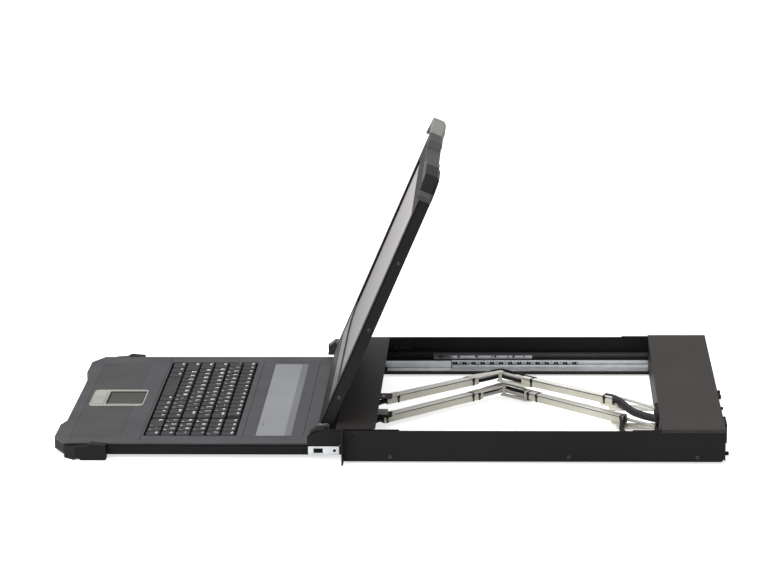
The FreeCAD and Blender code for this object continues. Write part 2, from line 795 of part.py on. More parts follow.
def cap_body():
    """Moulded free end: corner blocks, a bevelled back and a lip that folds over the tray's front."""
    waist = display_back + cap_bevel
    top = display_front + cap_lip
    back = Part.makeLoft([cap_wire(-cap_bevel, display_back), cap_wire(0, waist)], True, True)
    body = Part.Face(cap_wire(0, waist)).extrude(V(0, 0, top - rim_bevel - waist))
    rim = Part.makeLoft([cap_wire(0, top - rim_bevel), cap_wire(-rim_bevel, top)], True, True)
    cap = back.fuse(body).fuse(rim).removeSplitter()
    nest = [(-tray_half - cap_play, 0, 0), (tray_half + cap_play, 0, 0)]
    nest += front_outline(tray_half + cap_play, -tray_front + hinge_y, cap_play)
    recess = display_length + cap_reach - block_step
    notch = [(-cap_notch, recess - cap_notch_depth, 1), (cap_notch, recess - cap_notch_depth, 1),
             (cap_notch + cap_notch_depth, recess + 1, 0), (-cap_notch - cap_notch_depth, recess + 1, 0)]
    cuts = [slab(nest, display_front, top + 1), slab(notch, display_back - 1, top + 1)]
    return cap.cut(Part.makeCompound(cuts))


def corner_pad_room(grow):
    """Room that the dark corner pads fill: the right block's outer skin and the left one's chamfer."""
    low = display_back - 1
    high = display_front + cap_lip + 1
    start = display_length - pad_setback - grow
    far = display_length + cap_reach + 1
    right = box(block_inner - grow, cap_side + 1, start, far, low, high)
    left = box(-cap_side - 1, -block_outer - 2 + grow, start, far, low, high)
    inner = slab([(-cap_side, 0, 0), (cap_side, 0, 0)] + cap_outline(-pad_thick - grow), low - 1, high + 1)
    return Part.makeCompound([right.cut(inner), left.cut(inner)])


def end_cap():
    return stand_up(cap_body().cut(corner_pad_room(0.05)))


def corner_pads():
    return stand_up(cap_body().common(corner_pad_room(0)))


def display_screws():
    screws = []
    for y in display_screw_places:
        screw = pan_screw(V(display_half, y, display_screw_z), V(1, 0, 0), 1.0)
        screws += [screw, mirrored(screw)]
    return stand_up(Part.makeCompound(screws))


# ---- Keyboard tray ----

def tray_outline(inset, rear):
    front = [(x, -d, radius) for x, d, radius in front_outline(tray_half - inset, -tray_front, -inset)]
    return [(-tray_half + inset, rear, 0), (tray_half - inset, rear, 0)] + front


def tray_pan():
    top = tray_top - tray_deck
    outer = slab(tray_outline(0, tray_rear), tray_bottom, top)
    inner = slab(tray_outline(sheet, tray_rear - sheet), tray_bottom + sheet, top + 1)
    return outer.cut(inner)


def deck_openings():
    high = tray_top + 1
    low = tray_top - tray_deck - 1
    x0, x1, y0, y1 = pad_frame
    return [rounded_plate(-well_half, well_half, well_front, well_rear, low, high, 2),
            rounded_plate(x0, x1, y0, y1, low, high, pad_corner),
            rounded_plate(panel_left, panel_right, panel_front, panel_rear, tray_top - panel_depth,
                          high, 1)]


def tray_deck_plate():
    deck = slab(tray_outline(0, tray_rear), tray_top - tray_deck, tray_top)
    rim = [edge for edge in deck.Edges if abs(edge.CenterOfMass.z - tray_top) < 0.01]
    deck = deck.makeFillet(0.9, rim)
    high = tray_top + 1
    low = tray_top - groove_depth
    inset = rounded_plate(palm_left, palm_right, palm_front, palm_rear, tray_top - inset_depth, high, 4)
    front = well_front - seam_gap
    seam = box(seam_inset - tray_half, tray_half - seam_inset, front - groove_width, front, low, high)
    half = groove_half - groove_width
    frame = rounded_plate(-groove_half, groove_half, groove_front, groove_rear, low, high, 3)
    island = rounded_plate(-half, half, groove_front + groove_width, groove_rear - groove_width,
                           low - 1, high + 1, 3 - groove_width)
    return deck.cut(Part.makeCompound(deck_openings() + [inset, seam, frame.cut(island)]))


def palm_inset():
    x0, x1, y0, y1 = pad_frame
    play = 0.2
    plate = rounded_plate(palm_left + play, palm_right - play, palm_front + play, palm_rear - play,
                          tray_top - inset_depth, tray_top - 0.1, 3.8)
    return plate.cut(rounded_plate(x0, x1, y0, y1, tray_top - 3, tray_top + 1, pad_corner))


def touchpad_frame():
    x0, x1, y0, y1 = pad_frame
    play = 0.2
    frame = rounded_plate(x0 + play, x1 - play, y0 + play, y1 - play, tray_top - tray_deck,
                          tray_top + pad_rise, pad_corner - play)
    a0, a1, b0, b1 = pad_area
    frame = frame.cut(rounded_plate(a0, a1, b0, b1, tray_top - 1.4, tray_top + 2, 1))
    for x0, x1 in button_spans():
        frame = frame.cut(rounded_plate(x0 - button_gap, x1 + button_gap, pad_frame[2] + 3 - button_gap,
                                        b0 - 3 + button_gap, tray_top - tray_deck - 1, tray_top + 2, 1.2))
    return frame


def button_spans():
    middle = (pad_area[0] + pad_area[1]) / 2
    return [(pad_area[0] + 1, middle - 1.5), (middle + 1.5, pad_area[1] - 1)]


def pad_button(span):
    x0, x1 = span
    return rounded_plate(x0, x1, pad_frame[2] + 3, pad_area[2] - 3, tray_top - tray_deck,
                         tray_top + pad_rise + 0.3, 1)


def touchpad():
    x0, x1, y0, y1 = pad_area
    play = 0.2
    return rounded_plate(x0 + play, x1 - play, y0 + play, y1 - play, tray_top - 1.4, tray_top - 0.2, 0.8)


def lamp_panel():
    play = 0.2
    return rounded_plate(panel_left + play, panel_right - play, panel_front + play, panel_rear - play,
                         tray_top - panel_depth, tray_top - 0.1, 0.8)


def keyboard_base():
    """Switch plate and case floor below the keys, with a groove that guides the stems of each row."""
    top = key_low - key_travel - 0.6
    base = box(-well_half - 3, well_half + 3, well_front - 3, well_rear + 3, tray_bottom + sheet, top)
    half = key_stem[1] / 2 + 0.05
    for _, front, _ in key_rows():
        middle = front + key_pitch_y / 2
        low = top - key_stem_reach - key_travel - 0.5
        base = base.cut(box(-well_half + 1, well_half - 1, middle - half, middle + half, low, top + 1))
    return base


def key_rows():
    """Each row as (name, front edge, widths in key units from the left); a minus is a gap."""
    block = [1.0] * 4
    rows = [("space_row", [1.5, 1.25, 1.25, 5.0, 1.25, 1.25, 1.0, 1.0, 1.0, -0.25, 2.0, 1.0, 1.0]),
            ("lower_row", [2.25] + [1.0] * 10 + [1.25, 1.0, -0.25] + block),
            ("home_row", [1.75] + [1.0] * 11 + [1.75, -0.25] + block),
            ("upper_row", [1.5] + [1.0] * 13 + [-0.25] + block),
            ("number_row", [1.0] * 13 + [1.5, -0.25] + block),
            ("function_row", [1.0] * 14 + [-0.75] + block)]
    first = well_front + well_margin
    return [(name, first + rank * key_pitch_y, widths) for rank, (name, widths) in enumerate(rows)]


def key_cap(x0, x1, y0, y1):
    """Keycap: a four sided taper, longer at the front than at the back, on a stem."""
    low = key_low
    top = tray_top + key_rise
    foot = [V(x0, y0, low), V(x1, y0, low), V(x1, y1, low), V(x0, y1, low)]
    front = y0 + key_taper * key_front_taper
    rear = y1 - key_taper * key_rear_taper
    head = [V(x0 + key_taper, front, top), V(x1 - key_taper, front, top),
            V(x1 - key_taper, rear, top), V(x0 + key_taper, rear, top)]
    rings = [foot, head]
    for side in range(4):
        following = (side + 1) % 4
        rings.append([foot[side], foot[following], head[following], head[side]])
    faces = [Part.Face(Part.makePolygon(ring + ring[:1])) for ring in rings]
    cap = Part.makeSolid(Part.makeShell(faces))
    x = (x0 + x1) / 2
    y = (y0 + y1) / 2
    wide, deep = key_stem
    reach = key_travel + 0.6 + key_stem_reach
    stem = box(x - wide / 2, x + wide / 2, y - deep / 2, y + deep / 2, low - reach, low)
    return cap.fuse(stem)


def key_row(front, widths):
    unit = 2 * (well_half - well_margin) / sum(abs(width) for width in widths)
    x = well_margin - well_half
    near = front + key_gap / 2
    far = front + key_pitch_y - key_gap / 2
    caps = []
    for width in widths:
        step = abs(width) * unit
        if width > 0:
            caps.append(key_cap(x + key_gap / 2, x + step - key_gap / 2, near, far))
        x += step
    return Part.makeCompound(caps)


def tray_runner():
    z = tray_slide_z
    front = tab_rear + 0.3
    plate = [(front, tray_bottom, 0), (tray_runner_rear, tray_bottom, 0), (tray_runner_rear, runner_top, 3),
             (front, runner_top, 3)]
    web = section_along_x(plate, tray_half, tray_half + runner_sheet)
    bar = box(tray_half + runner_sheet, runner_bar_end(), channel_front + 8, tray_runner_rear,
              z - runner_half, z + runner_half)
    return web.fuse(bar).removeSplitter()


def stop_plate():
    x0 = tray_half + runner_sheet
    side = [(stop_front, tray_bottom, 1.5), (stop_rear, tray_bottom, 1.5), (stop_rear, runner_top, 1.5),
            (stop_front, runner_top, 1.5)]
    plate = section_along_x(side, x0, x0 + stop_sheet)
    middle = (tray_bottom + runner_top) / 2
    window = box(x0 - 1, x0 + 3, stop_front + 7, stop_front + 19, middle - 3, middle + 3)
    hole = rod(V(x0 - 1, stop_rear - 6, middle), V(1, 0, 0), 2.0, 4)
    return plate.cut(window).cut(hole)


def side_tab():
    """Handle at each front corner, low at the front where the folded display's lip passes."""
    x0 = tray_half + 0.05
    x1 = x0 + tab_reach
    plan = [(x0, tab_front, 0), (x1, tab_front + tab_shoulder, 3), (x1, tab_rear, 1.5), (x0, tab_rear, 0)]
    lip_low = hinge_z - display_front - cap_lip - slide_gap
    lip_start = hinge_y - display_length + end_cap_length + 1
    notch_front, notch_rear = tab_notch
    notch_top = tab_bottom + tab_notch_depth
    side = [(tab_front, tab_bottom, 0), (notch_front, tab_bottom, 0), (notch_front, notch_top, 0),
            (notch_rear, notch_top, 0), (notch_rear, tab_bottom, 0), (tab_rear, tab_bottom, 1),
            (tab_rear, tab_top, 1), (tab_crest, tab_top + tab_rise, 0.5),
            (tab_crest - tab_slope, tab_top - tab_drop, 2), (lip_start, lip_low, 0),
            (tab_front, lip_low, 0)]
    return slab(plan, tab_bottom, tab_top + tab_rise).common(section_along_x(side, x0 - 1, x1 + 1))


# ---- Cable arms ----

class Arm:
    """A folding pair of ducts between a pivot on the rear box and a pin in a slot at the front."""

    def __init__(self, x, rear_y, reach, bottom):
        self.x = x
        self.rear_y = rear_y
        self.bottom = bottom
        self.half_open = (rear_y - arm_front_y) / 2
        self.length = hypot(reach, self.half_open)
        self.elbow = V(x - reach, (rear_y + arm_front_y) / 2, 0)
        self.open_angle = degrees(acos(self.half_open / self.length))
        self.shut_angle = degrees(acos((self.half_open - travel / 2) / self.length))

    def slot_reach(self):
        """How far the pin falls behind its seat between the two ends of the travel."""
        worst = 0
        for step in range(21):
            share = step / 20
            angle = self.open_angle + share * (self.shut_angle - self.open_angle)
            pin = 2 * self.length * cos(radians(angle))
            seat = 2 * self.half_open - share * travel
            worst = max(worst, pin - seat)
        return worst + 1

    def place(self, shape, front):
        """Put a piece drawn along +X from the elbow, outside at +Y, on the front or rear arm."""
        angle = self.open_angle
        if front:
            shape = shape.mirror(V(0, 0, 0), V(0, 1, 0))
            shape.rotate(V(0, 0, 0), V(0, 0, 1), angle - 90)
        else:
            shape.rotate(V(0, 0, 0), V(0, 0, 1), 90 - angle)
        shape.translate(self.elbow)
        return shape

    def duct(self, front):
        low = self.bottom + (link_play if front else 0)
        high = low + duct_height
        start = duct_cut
        end = self.length - duct_tail
        inner = duct_offset
        outer = duct_offset + duct_width
        tube = box(start, end, inner, outer, low, high)
        bore = box(start - 1, end + 1, inner + duct_wall, outer - duct_wall, low + duct_wall,
                   high - duct_wall)
        seam = box(start - 1, end + 1, inner - 1, inner + 0.4, high - 2.2, high - 1.6)
        return self.place(tube.cut(bore).cut(seam), front)

    def link(self, front):
        """Steel strip from duct to elbow, with the strip and pin at the arm's other end."""
        if front:
            low = self.bottom + link_play + duct_height
        else:
            low = self.bottom - link_sheet
        high = low + link_sheet
        reach = duct_cut + 24
        strip = slab([(-link_half, -link_half, link_half - 0.1), (reach, -link_half, 0),
                      (reach, duct_offset + 14, 0), (duct_cut - 8, duct_offset + 14, 6),
                      (6, link_half, 4), (-link_half, link_half, link_half - 1.5)], low, high)
        tail = self.length - duct_tail - 24
        end = slab([(tail, -link_half, 0), (self.length + link_half, -link_half, link_half - 0.1),
                    (self.length + link_half, link_half, link_half - 0.1),
                    (self.length - duct_tail, duct_offset + 14, 4), (tail, duct_offset + 14, 0)], low, high)
        whole = strip.fuse(end)
        bore = arm_pin_radius + 0.05
        if front:
            whole = whole.cut(rod(V(0, 0, low - 1), V(0, 0, 1), bore, link_sheet + 2))
            pin = rod(V(self.length, 0, low), V(0, 0, 1), arm_pin_radius, 2 * link_sheet + 1.2)
            whole = whole.fuse(pin)
        else:
            whole = whole.cut(rod(V(self.length, 0, low - 1), V(0, 0, 1), bore, link_sheet + 2))
            pin = rod(V(0, 0, low), V(0, 0, 1), arm_pin_radius,
                      duct_height + link_play + 2 * link_sheet + 0.6)
            whole = whole.fuse(pin)
        return self.place(whole, front)

    def tongue_z(self):
        return self.bottom + link_play + duct_height + link_sheet + 0.6

    def anchor(self):
        """Strip on the rear box that holds the rear arm's pivot pin."""
        low = self.bottom - 2 * link_sheet - 0.2
        strip = slab([(self.x - 12, cover_front, 0), (self.x - 12, self.rear_y - 10, 6),
                      (self.x + 12, self.rear_y - 10, 6), (self.x + 12, cover_front, 0)],
                     low, low + link_sheet)
        pin = rod(V(self.x, self.rear_y, low), V(0, 0, 1), arm_pin_radius, 2 * link_sheet + 0.6)
        return strip.fuse(pin)

    def elbow_leads(self):
        """Three leads that bow round the outside of the elbow, from duct to duct."""
        middle = self.bottom + duct_height / 2 + link_play / 2
        turn = radians(90 - self.open_angle)
        along = V(cos(turn), sin(turn), 0)
        across = V(-sin(turn), cos(turn), 0)
        leads = []
        for rank in (0, 1, 2):
            outside = duct_offset + 7.4 + 5.0 * rank
            start = self.elbow + along * (duct_cut - lead_gap) + across * outside
            corner = self.elbow + across * outside - along * (outside * cos(turn) / sin(turn))
            start.z = corner.z = middle
            end = V(start.x, 2 * self.elbow.y - start.y, middle)
            leads.append(lead([start, corner, end], cable_radius))
        return Part.makeCompound(leads)

    def rear_leads(self, rank):
        """Lead from a grommet in the rear box to just short of the swing of the rear arm's end."""
        x, z = cable_ports()[rank]
        bend = V(x, cover_front - 14, z)
        toward = V(self.x, self.rear_y, z) - bend
        swing = hypot(duct_offset + duct_width, duct_tail) + 2
        end = bend + toward * (1 - swing / toward.Length)
        return lead([V(x, cover_front + 8, z), bend, end], bundle_radius)

    def front_leads(self, front):
        """Leads from the moving unit to just short of the swing of the front arm's end."""
        middle = self.bottom + duct_height / 2 + link_play / 2
        swing = hypot(duct_offset + duct_width, duct_tail) + 2
        leads = []
        for side in (0, 7):
            x = self.x - 6 - side
            leads.append(rod(V(x, front, middle), V(0, 1, 0), cable_radius,
                             arm_front_y - swing - self.slot_reach() - front))
        return Part.makeCompound(leads)


def lead(points, radius):
    """Round lead through three points, with one arc as large as its shorter run allows."""
    start, bend, end = points
    before = start - bend
    after = end - bend
    half = before.getAngle(after) / 2
    reach = lead_bend * min(before.Length, after.Length)
    before.normalize()
    after.normalize()
    bisector = before + after
    bisector.normalize()
    centre = bend + bisector * (reach / cos(half))
    first = bend + before * reach
    last = bend + after * reach
    ring = Part.Face(Part.Wire([Part.Circle(first, before, radius).toShape()]))
    turn = ring.revolve(centre, after.cross(before), 180 - degrees(2 * half))
    runs = [rod(start, first - start, radius, (first - start).Length),
            rod(last, end - last, radius, (end - last).Length)]
    return turn.fuse(runs).removeSplitter()


# ---- Put together ----

both_sides("side_rail", side_rail())
shapes["rack_ears"] = pair(rack_ear())
shapes["slide_mounts"] = pair(slide_mount())
shapes["display_channels"] = pair(channel(display_slide_z, display_channel_rear, False))
shapes["tray_channels"] = pair(channel(tray_slide_z, tray_channel_rear, True))
shapes["rear_box"] = rear_box()
shapes["rear_cover"] = rear_cover()
shapes["rear_panel"] = rear_panel()
shapes["power_inlet"] = Part.makeCompound([power_inlet(), switch_frame()])
shapes["power_switch"] = power_switch()
shapes["video_port"] = Part.makeCompound([video_port(), port_posts()])
shapes["usb_ports"] = usb_ports()
shapes["main_board"] = main_board()
shapes["chassis_screws"] = chassis_screws()
shapes["cable_grommets"] = grommets()

display_arm = Arm(display_arm_x, display_arm_rear_y, display_arm_reach, display_duct_bottom)
tray_arm = Arm(tray_arm_x, tray_arm_rear_y, tray_arm_reach, tray_duct_bottom)

shapes["carriage_sides"] = pair(carriage_side().fuse(display_runner()).removeSplitter())
shapes["carriage_deck"] = Part.makeCompound([carriage_deck(), hinge_trough(),
                                             link_tongue(display_arm, deck_rear - 30)])
shapes["hinge_blocks"] = pair(hinge_block())
shapes["hinge_trims"] = pair(hinge_trim())
shapes["carriage_stops"] = carriage_stops()
shapes["display_ball_cages"] = pair(ball_cage(display_slide_z, display_cage_span, display_ball_pitch, 3.0))

shapes["display_shell"] = display_shell()
shapes["display_hinges"] = display_hinges()
shapes["display_bezel"] = display_bezel()
shapes["display_screen"] = display_screen()
shapes["display_board"] = display_board()
shapes["display_end_cap"] = end_cap()
shapes["display_corner_pads"] = corner_pads()
shapes["display_screws"] = display_screws()

shapes["tray_pan"] = tray_pan()
shapes["tray_deck"] = tray_deck_plate()
shapes["palm_inset"] = palm_inset()
shapes["touchpad_frame"] = touchpad_frame()
shapes["touchpad"] = touchpad()
shapes["left_pad_button"] = pad_button(button_spans()[0])
shapes["right_pad_button"] = pad_button(button_spans()[1])
shapes["lamp_panel"] = lamp_panel()
shapes["keyboard_base"] = keyboard_base()
for row_name, front, widths in key_rows():
    shapes[row_name] = key_row(front, widths)
shapes["tray_runners"] = pair(tray_runner())
shapes["stop_plates"] = pair(stop_plate())
shapes["side_tabs"] = pair(side_tab())
shapes["tray_arm_tongue"] = link_tongue(tray_arm, tray_rear)
shapes["tray_ball_cages"] = pair(ball_cage(tray_slide_z, tray_cage_span, tray_ball_pitch, 4.0))

for name, arm, lead_front in (("display", display_arm, deck_front + deck_sheet + 0.1),
                              ("tray", tray_arm, tray_rear + 0.2)):
    shapes[name + "_rear_arm"] = arm.duct(False).fuse(arm.link(False))
    shapes[name + "_front_arm"] = arm.duct(True).fuse(arm.link(True))
    shapes[name + "_elbow_leads"] = arm.elbow_leads()
    shapes[name + "_front_leads"] = arm.front_leads(lead_front)
shapes["arm_anchors"] = Part.makeCompound([display_arm.anchor(), tray_arm.anchor()])
shapes["rear_leads"] = Part.makeCompound([display_arm.rear_leads(0), tray_arm.rear_leads(1)])

os.makedirs("parts", exist_ok=True)
for name, shape in shapes.items():
    shape.exportStep("parts/" + name + ".step")
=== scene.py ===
import math

import bmesh
import bpy
from mathutils import Matrix, Vector


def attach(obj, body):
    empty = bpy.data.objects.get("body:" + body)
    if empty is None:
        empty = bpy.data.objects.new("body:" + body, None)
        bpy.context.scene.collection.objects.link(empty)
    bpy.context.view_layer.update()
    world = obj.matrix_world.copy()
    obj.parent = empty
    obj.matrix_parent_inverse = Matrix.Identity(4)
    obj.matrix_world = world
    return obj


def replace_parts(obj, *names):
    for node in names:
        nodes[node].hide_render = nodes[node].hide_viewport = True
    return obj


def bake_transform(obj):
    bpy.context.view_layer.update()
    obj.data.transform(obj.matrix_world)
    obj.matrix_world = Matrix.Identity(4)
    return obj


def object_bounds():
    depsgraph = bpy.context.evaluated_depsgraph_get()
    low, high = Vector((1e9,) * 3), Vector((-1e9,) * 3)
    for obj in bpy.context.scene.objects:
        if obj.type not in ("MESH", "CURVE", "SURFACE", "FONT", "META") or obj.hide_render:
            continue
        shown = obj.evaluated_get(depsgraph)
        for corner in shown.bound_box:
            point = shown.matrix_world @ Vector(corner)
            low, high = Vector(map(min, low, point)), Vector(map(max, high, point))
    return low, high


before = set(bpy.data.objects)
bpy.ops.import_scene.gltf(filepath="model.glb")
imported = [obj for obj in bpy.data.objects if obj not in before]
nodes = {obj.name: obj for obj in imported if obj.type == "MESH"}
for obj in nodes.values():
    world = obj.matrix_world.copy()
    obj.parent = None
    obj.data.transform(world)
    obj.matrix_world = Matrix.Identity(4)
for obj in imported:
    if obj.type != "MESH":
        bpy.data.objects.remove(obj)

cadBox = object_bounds()
mm = 0.001
print("frame loaded:", len(nodes), "pieces")


def linearColour(hexText):
    parts = [int(hexText[i:i + 2], 16) / 255 for i in (1, 3, 5)]
    return [p / 12.92 if p <= 0.04045 else ((p + 0.055) / 1.055) ** 2.4 for p in parts] + [1.0]


def addNode(tree, kind, settings=None, links=None):
    node = tree.nodes.new(kind)
    for name, value in (settings or {}).items():
        if isinstance(name, int) or name in node.inputs:
            node.inputs[name].default_value = value
        else:
            setattr(node, name, value)
    for name, source in (links or {}).items():
        tree.links.new(source, node.inputs[name])
    return node


def newMaterial(name, shader):
    # an empty material with its Principled shader, and the places on the piece for its patterns
    material = bpy.data.materials.new(name)
    material.use_nodes = True
    tree = material.node_tree
    tree.nodes.clear()
    surface = addNode(tree, "ShaderNodeBsdfPrincipled", shader)
    addNode(tree, "ShaderNodeOutputMaterial", links={"Surface": surface.outputs[0]})
    return material, tree, surface, addNode(tree, "ShaderNodeTexCoord")


def addRelief(tree, surface, height, depthMm, edgeMm):
    # fine relief on top of softened edges, so that bends and mouldings catch the light
    edge = addNode(tree, "ShaderNodeBevel", {"samples": 4, "Radius": edgeMm * mm})
    bump = addNode(tree, "ShaderNodeBump", {"Strength": 1.0, "Distance": depthMm * mm},
                   {"Height": height, "Normal": edge.outputs[0]})
    tree.links.new(bump.outputs[0], surface.inputs["Normal"])


# sizes are in millimetres, a stretch above 1 draws the grain out along Y, and roughness runs from below to
# above its middle value; noise hardly leaves noiseSpan, which is brought out to the whole range of each value
noiseSpan = {"From Min": 0.3, "From Max": 0.7}
surfaces = {
    # polyester powder, sprayed on sheet and baked: a fine orange peel breaks up each highlight
    "powderCoat": {"shader": {"IOR": 1.5}, "patchMm": 90.0, "patchDetail": 2.0, "grainMm": 0.9, "grainDetail": 3.0,
                   "stretch": 1, "below": 0.05, "above": 0.05, "depthMm": 0.05, "edgeMm": 0.5},
    # rolled strip with a zinc plate: metal, with faint lines along the strip and cloudy patches
    "zincPlate": {"shader": {"Metallic": 1.0}, "patchMm": 14.0, "patchDetail": 3.0, "grainMm": 0.6,
                  "grainDetail": 3.0, "stretch": 40, "below": 0.08, "above": 0.1, "depthMm": 0.02, "edgeMm": 0.3},
    # ABS from a spark eroded mould: an even grain, drawn a little coarse so that it shows, and a soft sheen
    "mouldedAbs": {"shader": {"IOR": 1.53}, "patchMm": 60.0, "patchDetail": 2.0, "grainMm": 0.6, "grainDetail": 2.0,
                   "stretch": 1, "speck": 0.35, "below": 0.06, "above": 0.06, "depthMm": 0.03, "edgeMm": 0.4},
    # rigid PVC drawn through a die: smooth and slightly waxy, with faint lines along its length
    "extrudedPvc": {"shader": {"IOR": 1.54, "Subsurface Weight": 0.05, "Subsurface Radius": (0.004, 0.003, 0.002),
                               "Specular IOR Level": 0.4}, "patchMm": 35.0, "patchDetail": 3.0, "grainMm": 1.4,
                    "grainDetail": 2.0, "stretch": 6, "roughness": 0.44, "below": 0.06, "above": 0.06,
                    "depthMm": 0.02, "edgeMm": 0.4},
    # moulded rubber, a soft jacket or ink: dull, with a dusty bloom
    "softRubber": {"shader": {"IOR": 1.52, "Specular IOR Level": 0.3}, "patchMm": 4.0, "patchDetail": 4.0,
                   "grainMm": 1.0, "grainDetail": 2.0, "stretch": 1, "reliefMm": 0.8, "roughness": 0.65,
                   "below": 0.1, "above": 0.1, "depthMm": 0.03, "edgeMm": 0.4},
    # acrylic sheet with an etched face: it spreads every reflection
    "etchedFilm": {"shader": {"IOR": 1.49, "Coat Roughness": 0.25}, "patchMm": 160.0, "patchDetail": 1.0,
                   "grainMm": 0.35, "grainDetail": 2.0, "stretch": 1, "below": 0.04, "above": 0.04,
                   "depthMm": 0.01, "edgeMm": 0.2},
}
looks = {
    "chassisPaint": ("black powder coat", "powderCoat",
                     {"dark": "#0e0d0d", "pale": "#141312", "roughness": 0.52, "shine": 0.18}),
    "trayPaint": ("dull black powder coat", "powderCoat",
                  {"dark": "#0f0f0f", "pale": "#141414", "roughness": 0.56, "shine": 0.14}),
    "coverPaint": ("brown black powder coat", "powderCoat",
                   {"dark": "#241f1e", "pale": "#2a2523", "roughness": 0.52, "shine": 0.3}),
    "creamPaint": ("cream powder coat", "powderCoat",
                   {"dark": "#d2cfc4", "pale": "#dedbd1", "roughness": 0.42, "shine": 0.4, "depthMm": 0.02}),
    "screwSteel": ("black zinc screw", "powderCoat",
                   {"dark": "#252525", "pale": "#2d2d2d", "roughness": 0.4, "shine": 0.3, "grainMm": 0.5,
                    "depthMm": 0.01}),
    "slideCoat": ("black dipped steel", "powderCoat",
                  {"dark": "#212124", "pale": "#2b2b2f", "roughness": 0.38, "shine": 0.5, "grainMm": 0.5,
                   "depthMm": 0.02}),
    "zinc": ("zinc plated steel", "zincPlate", {"dark": "#b9bcbf", "pale": "#d6d8da", "roughness": 0.32}),
    "slideZinc": ("bright rolled zinc", "zincPlate",
                  {"dark": "#dcdfe2", "pale": "#eef0f2", "roughness": 0.4, "grainMm": 0.8}),
    "chrome": ("chrome steel", "zincPlate",
               {"dark": "#d0d2d4", "pale": "#e4e6e8", "roughness": 0.14, "grainMm": 0.4}),
    "deckAbs": ("dark grey ABS", "mouldedAbs",
                {"dark": "#36363a", "pale": "#404044", "roughness": 0.52, "shine": 0.28, "grainMm": 0.7,
                 "depthMm": 0.05, "edgeMm": 0.8}),
    "palmAbs": ("fine grained dark ABS", "mouldedAbs",
                {"dark": "#343434", "pale": "#3c3c3c", "roughness": 0.55, "shine": 0.3, "grainMm": 0.5,
                 "edgeMm": 0.3}),
    "dullAbs": ("dull black ABS", "mouldedAbs",
                {"dark": "#0b0b0b", "pale": "#121111", "roughness": 0.5, "shine": 0.16}),
    "blackAbs": ("black ABS", "mouldedAbs",
                 {"dark": "#151515", "pale": "#1d1d1d", "roughness": 0.45, "shine": 0.35}),
    "bezelAbs": ("charcoal ABS", "mouldedAbs",
                 {"dark": "#0d0d0d", "pale": "#131313", "roughness": 0.5, "shine": 0.06, "edgeMm": 0.6}),
    # the screen band's own charcoal, which the far faces of the hinge blocks also take as painted light
    "bandAndLitHingeAbs": ("charcoal ABS band and painted lit hinge faces", "mouldedAbs",
                {"dark": "#303030", "pale": "#3a3a39", "roughness": 0.42, "shine": 0.35, "edgeMm": 0.6}),
    "capAbs": ("grey ABS", "mouldedAbs",
               {"dark": "#313130", "pale": "#3a3a39", "roughness": 0.5, "shine": 0.35, "grainMm": 0.7,
                "depthMm": 0.04, "edgeMm": 0.8}),
    # painted light: the lit far side of the display end cap
    "litCapAbs": ("grey ABS, painted lit side", "mouldedAbs",
                   {"dark": "#6e6e6b", "pale": "#7a7a76", "roughness": 0.5, "shine": 0.35, "grainMm": 0.7,
                    "depthMm": 0.04, "edgeMm": 0.8}),
    "keyAbs": ("key cap ABS", "mouldedAbs",
               {"dark": "#1b1b1c", "pale": "#252527", "roughness": 0.48, "shine": 0.35, "grainMm": 0.5,
                "depthMm": 0.02, "edgeMm": 0.3}),
    "silverPaint": ("silver painted ABS", "mouldedAbs",
                    {"dark": "#84847f", "pale": "#96968f", "roughness": 0.36, "shine": 0.45, "grainMm": 0.3,
                     "depthMm": 0.01, "edgeMm": 0.5}),
    "tieNylon": ("black nylon", "mouldedAbs",
                 {"dark": "#101010", "pale": "#181818", "roughness": 0.4, "shine": 0.4, "grainMm": 0.4,
                  "depthMm": 0.01, "edgeMm": 0.2}),
    "padFilm": ("touchpad film", "etchedFilm",
                {"dark": "#30302e", "pale": "#3a3a37", "roughness": 0.45, "shine": 0.35, "coat": 0.0}),
    "lampAcrylic": ("grey acrylic", "etchedFilm",
                    {"dark": "#707274", "pale": "#7c7e80", "roughness": 0.4, "shine": 0.4, "coat": 0.1}),
    # painted reflection: the lamp panel's darker rear band stands in for the display above it, reflected in the panel
    "reflectionBandAcrylic": ("blue grey painted reflection", "etchedFilm",
                    {"dark": "#595b5d", "pale": "#656769", "roughness": 0.4, "shine": 0.35, "coat": 0.0}),
    # painted reflection: the screen's pale grey stands in for the bright surroundings it reflects at a grazing angle,
    # and it darkens toward the hinge, where it faces the dark deck
    "screenFilm": ("anti glare screen, painted reflection", "etchedFilm",
                   {"dark": "#a09b9b", "pale": "#aaa5a4", "low": "#1c1b1b", "lowMm": 40.0, "highMm": 290.0,
                    "roughness": 0.36, "shine": 0.12, "coat": 0.0}),
    "ivoryPvc": ("ivory PVC", "extrudedPvc", {"dark": "#d2d0c0", "pale": "#dedbcd"}),
    "palePvc": ("white PVC", "extrudedPvc", {"dark": "#e2e1da", "pale": "#eceae4"}),
    # painted shade: a dark sheet laid in gaps, lines and cage windows where shade falls; it also colours the lamp
    # panel's dark sensor dot
    "gapShadow": ("painted gap shade and sensor black", "softRubber", {"dark": "#101010", "pale": "#181818"}),
    "rubber": ("black rubber", "softRubber", {"dark": "#121212", "pale": "#1b1b1b"}),
    "blackJacket": ("black cable jacket", "softRubber", {"dark": "#0f0f10", "pale": "#19191a"}),
    "whiteJacket": ("white cable jacket", "softRubber", {"dark": "#bdbdb8", "pale": "#d4d4cf"}),
    "greyJacket": ("grey cable jacket", "softRubber", {"dark": "#8d8d8a", "pale": "#a0a09c"}),
    "legendInk": ("pale legend ink", "softRubber", {"dark": "#dadad8", "pale": "#ececea"}),
}
braid = {"dark": "#08080a", "pale": "#26262a", "strandsRound": 12, "strandsAlong": 60, "slant": 45.0,
         "roughness": 0.6, "depthMm": 0.25, "edgeMm": 0.2}
board = {"dark": "#0c3a22", "pale": "#1c5a37", "trackMm": 5.0, "roughness": 0.35, "depthMm": 0.03, "edgeMm": 0.2}


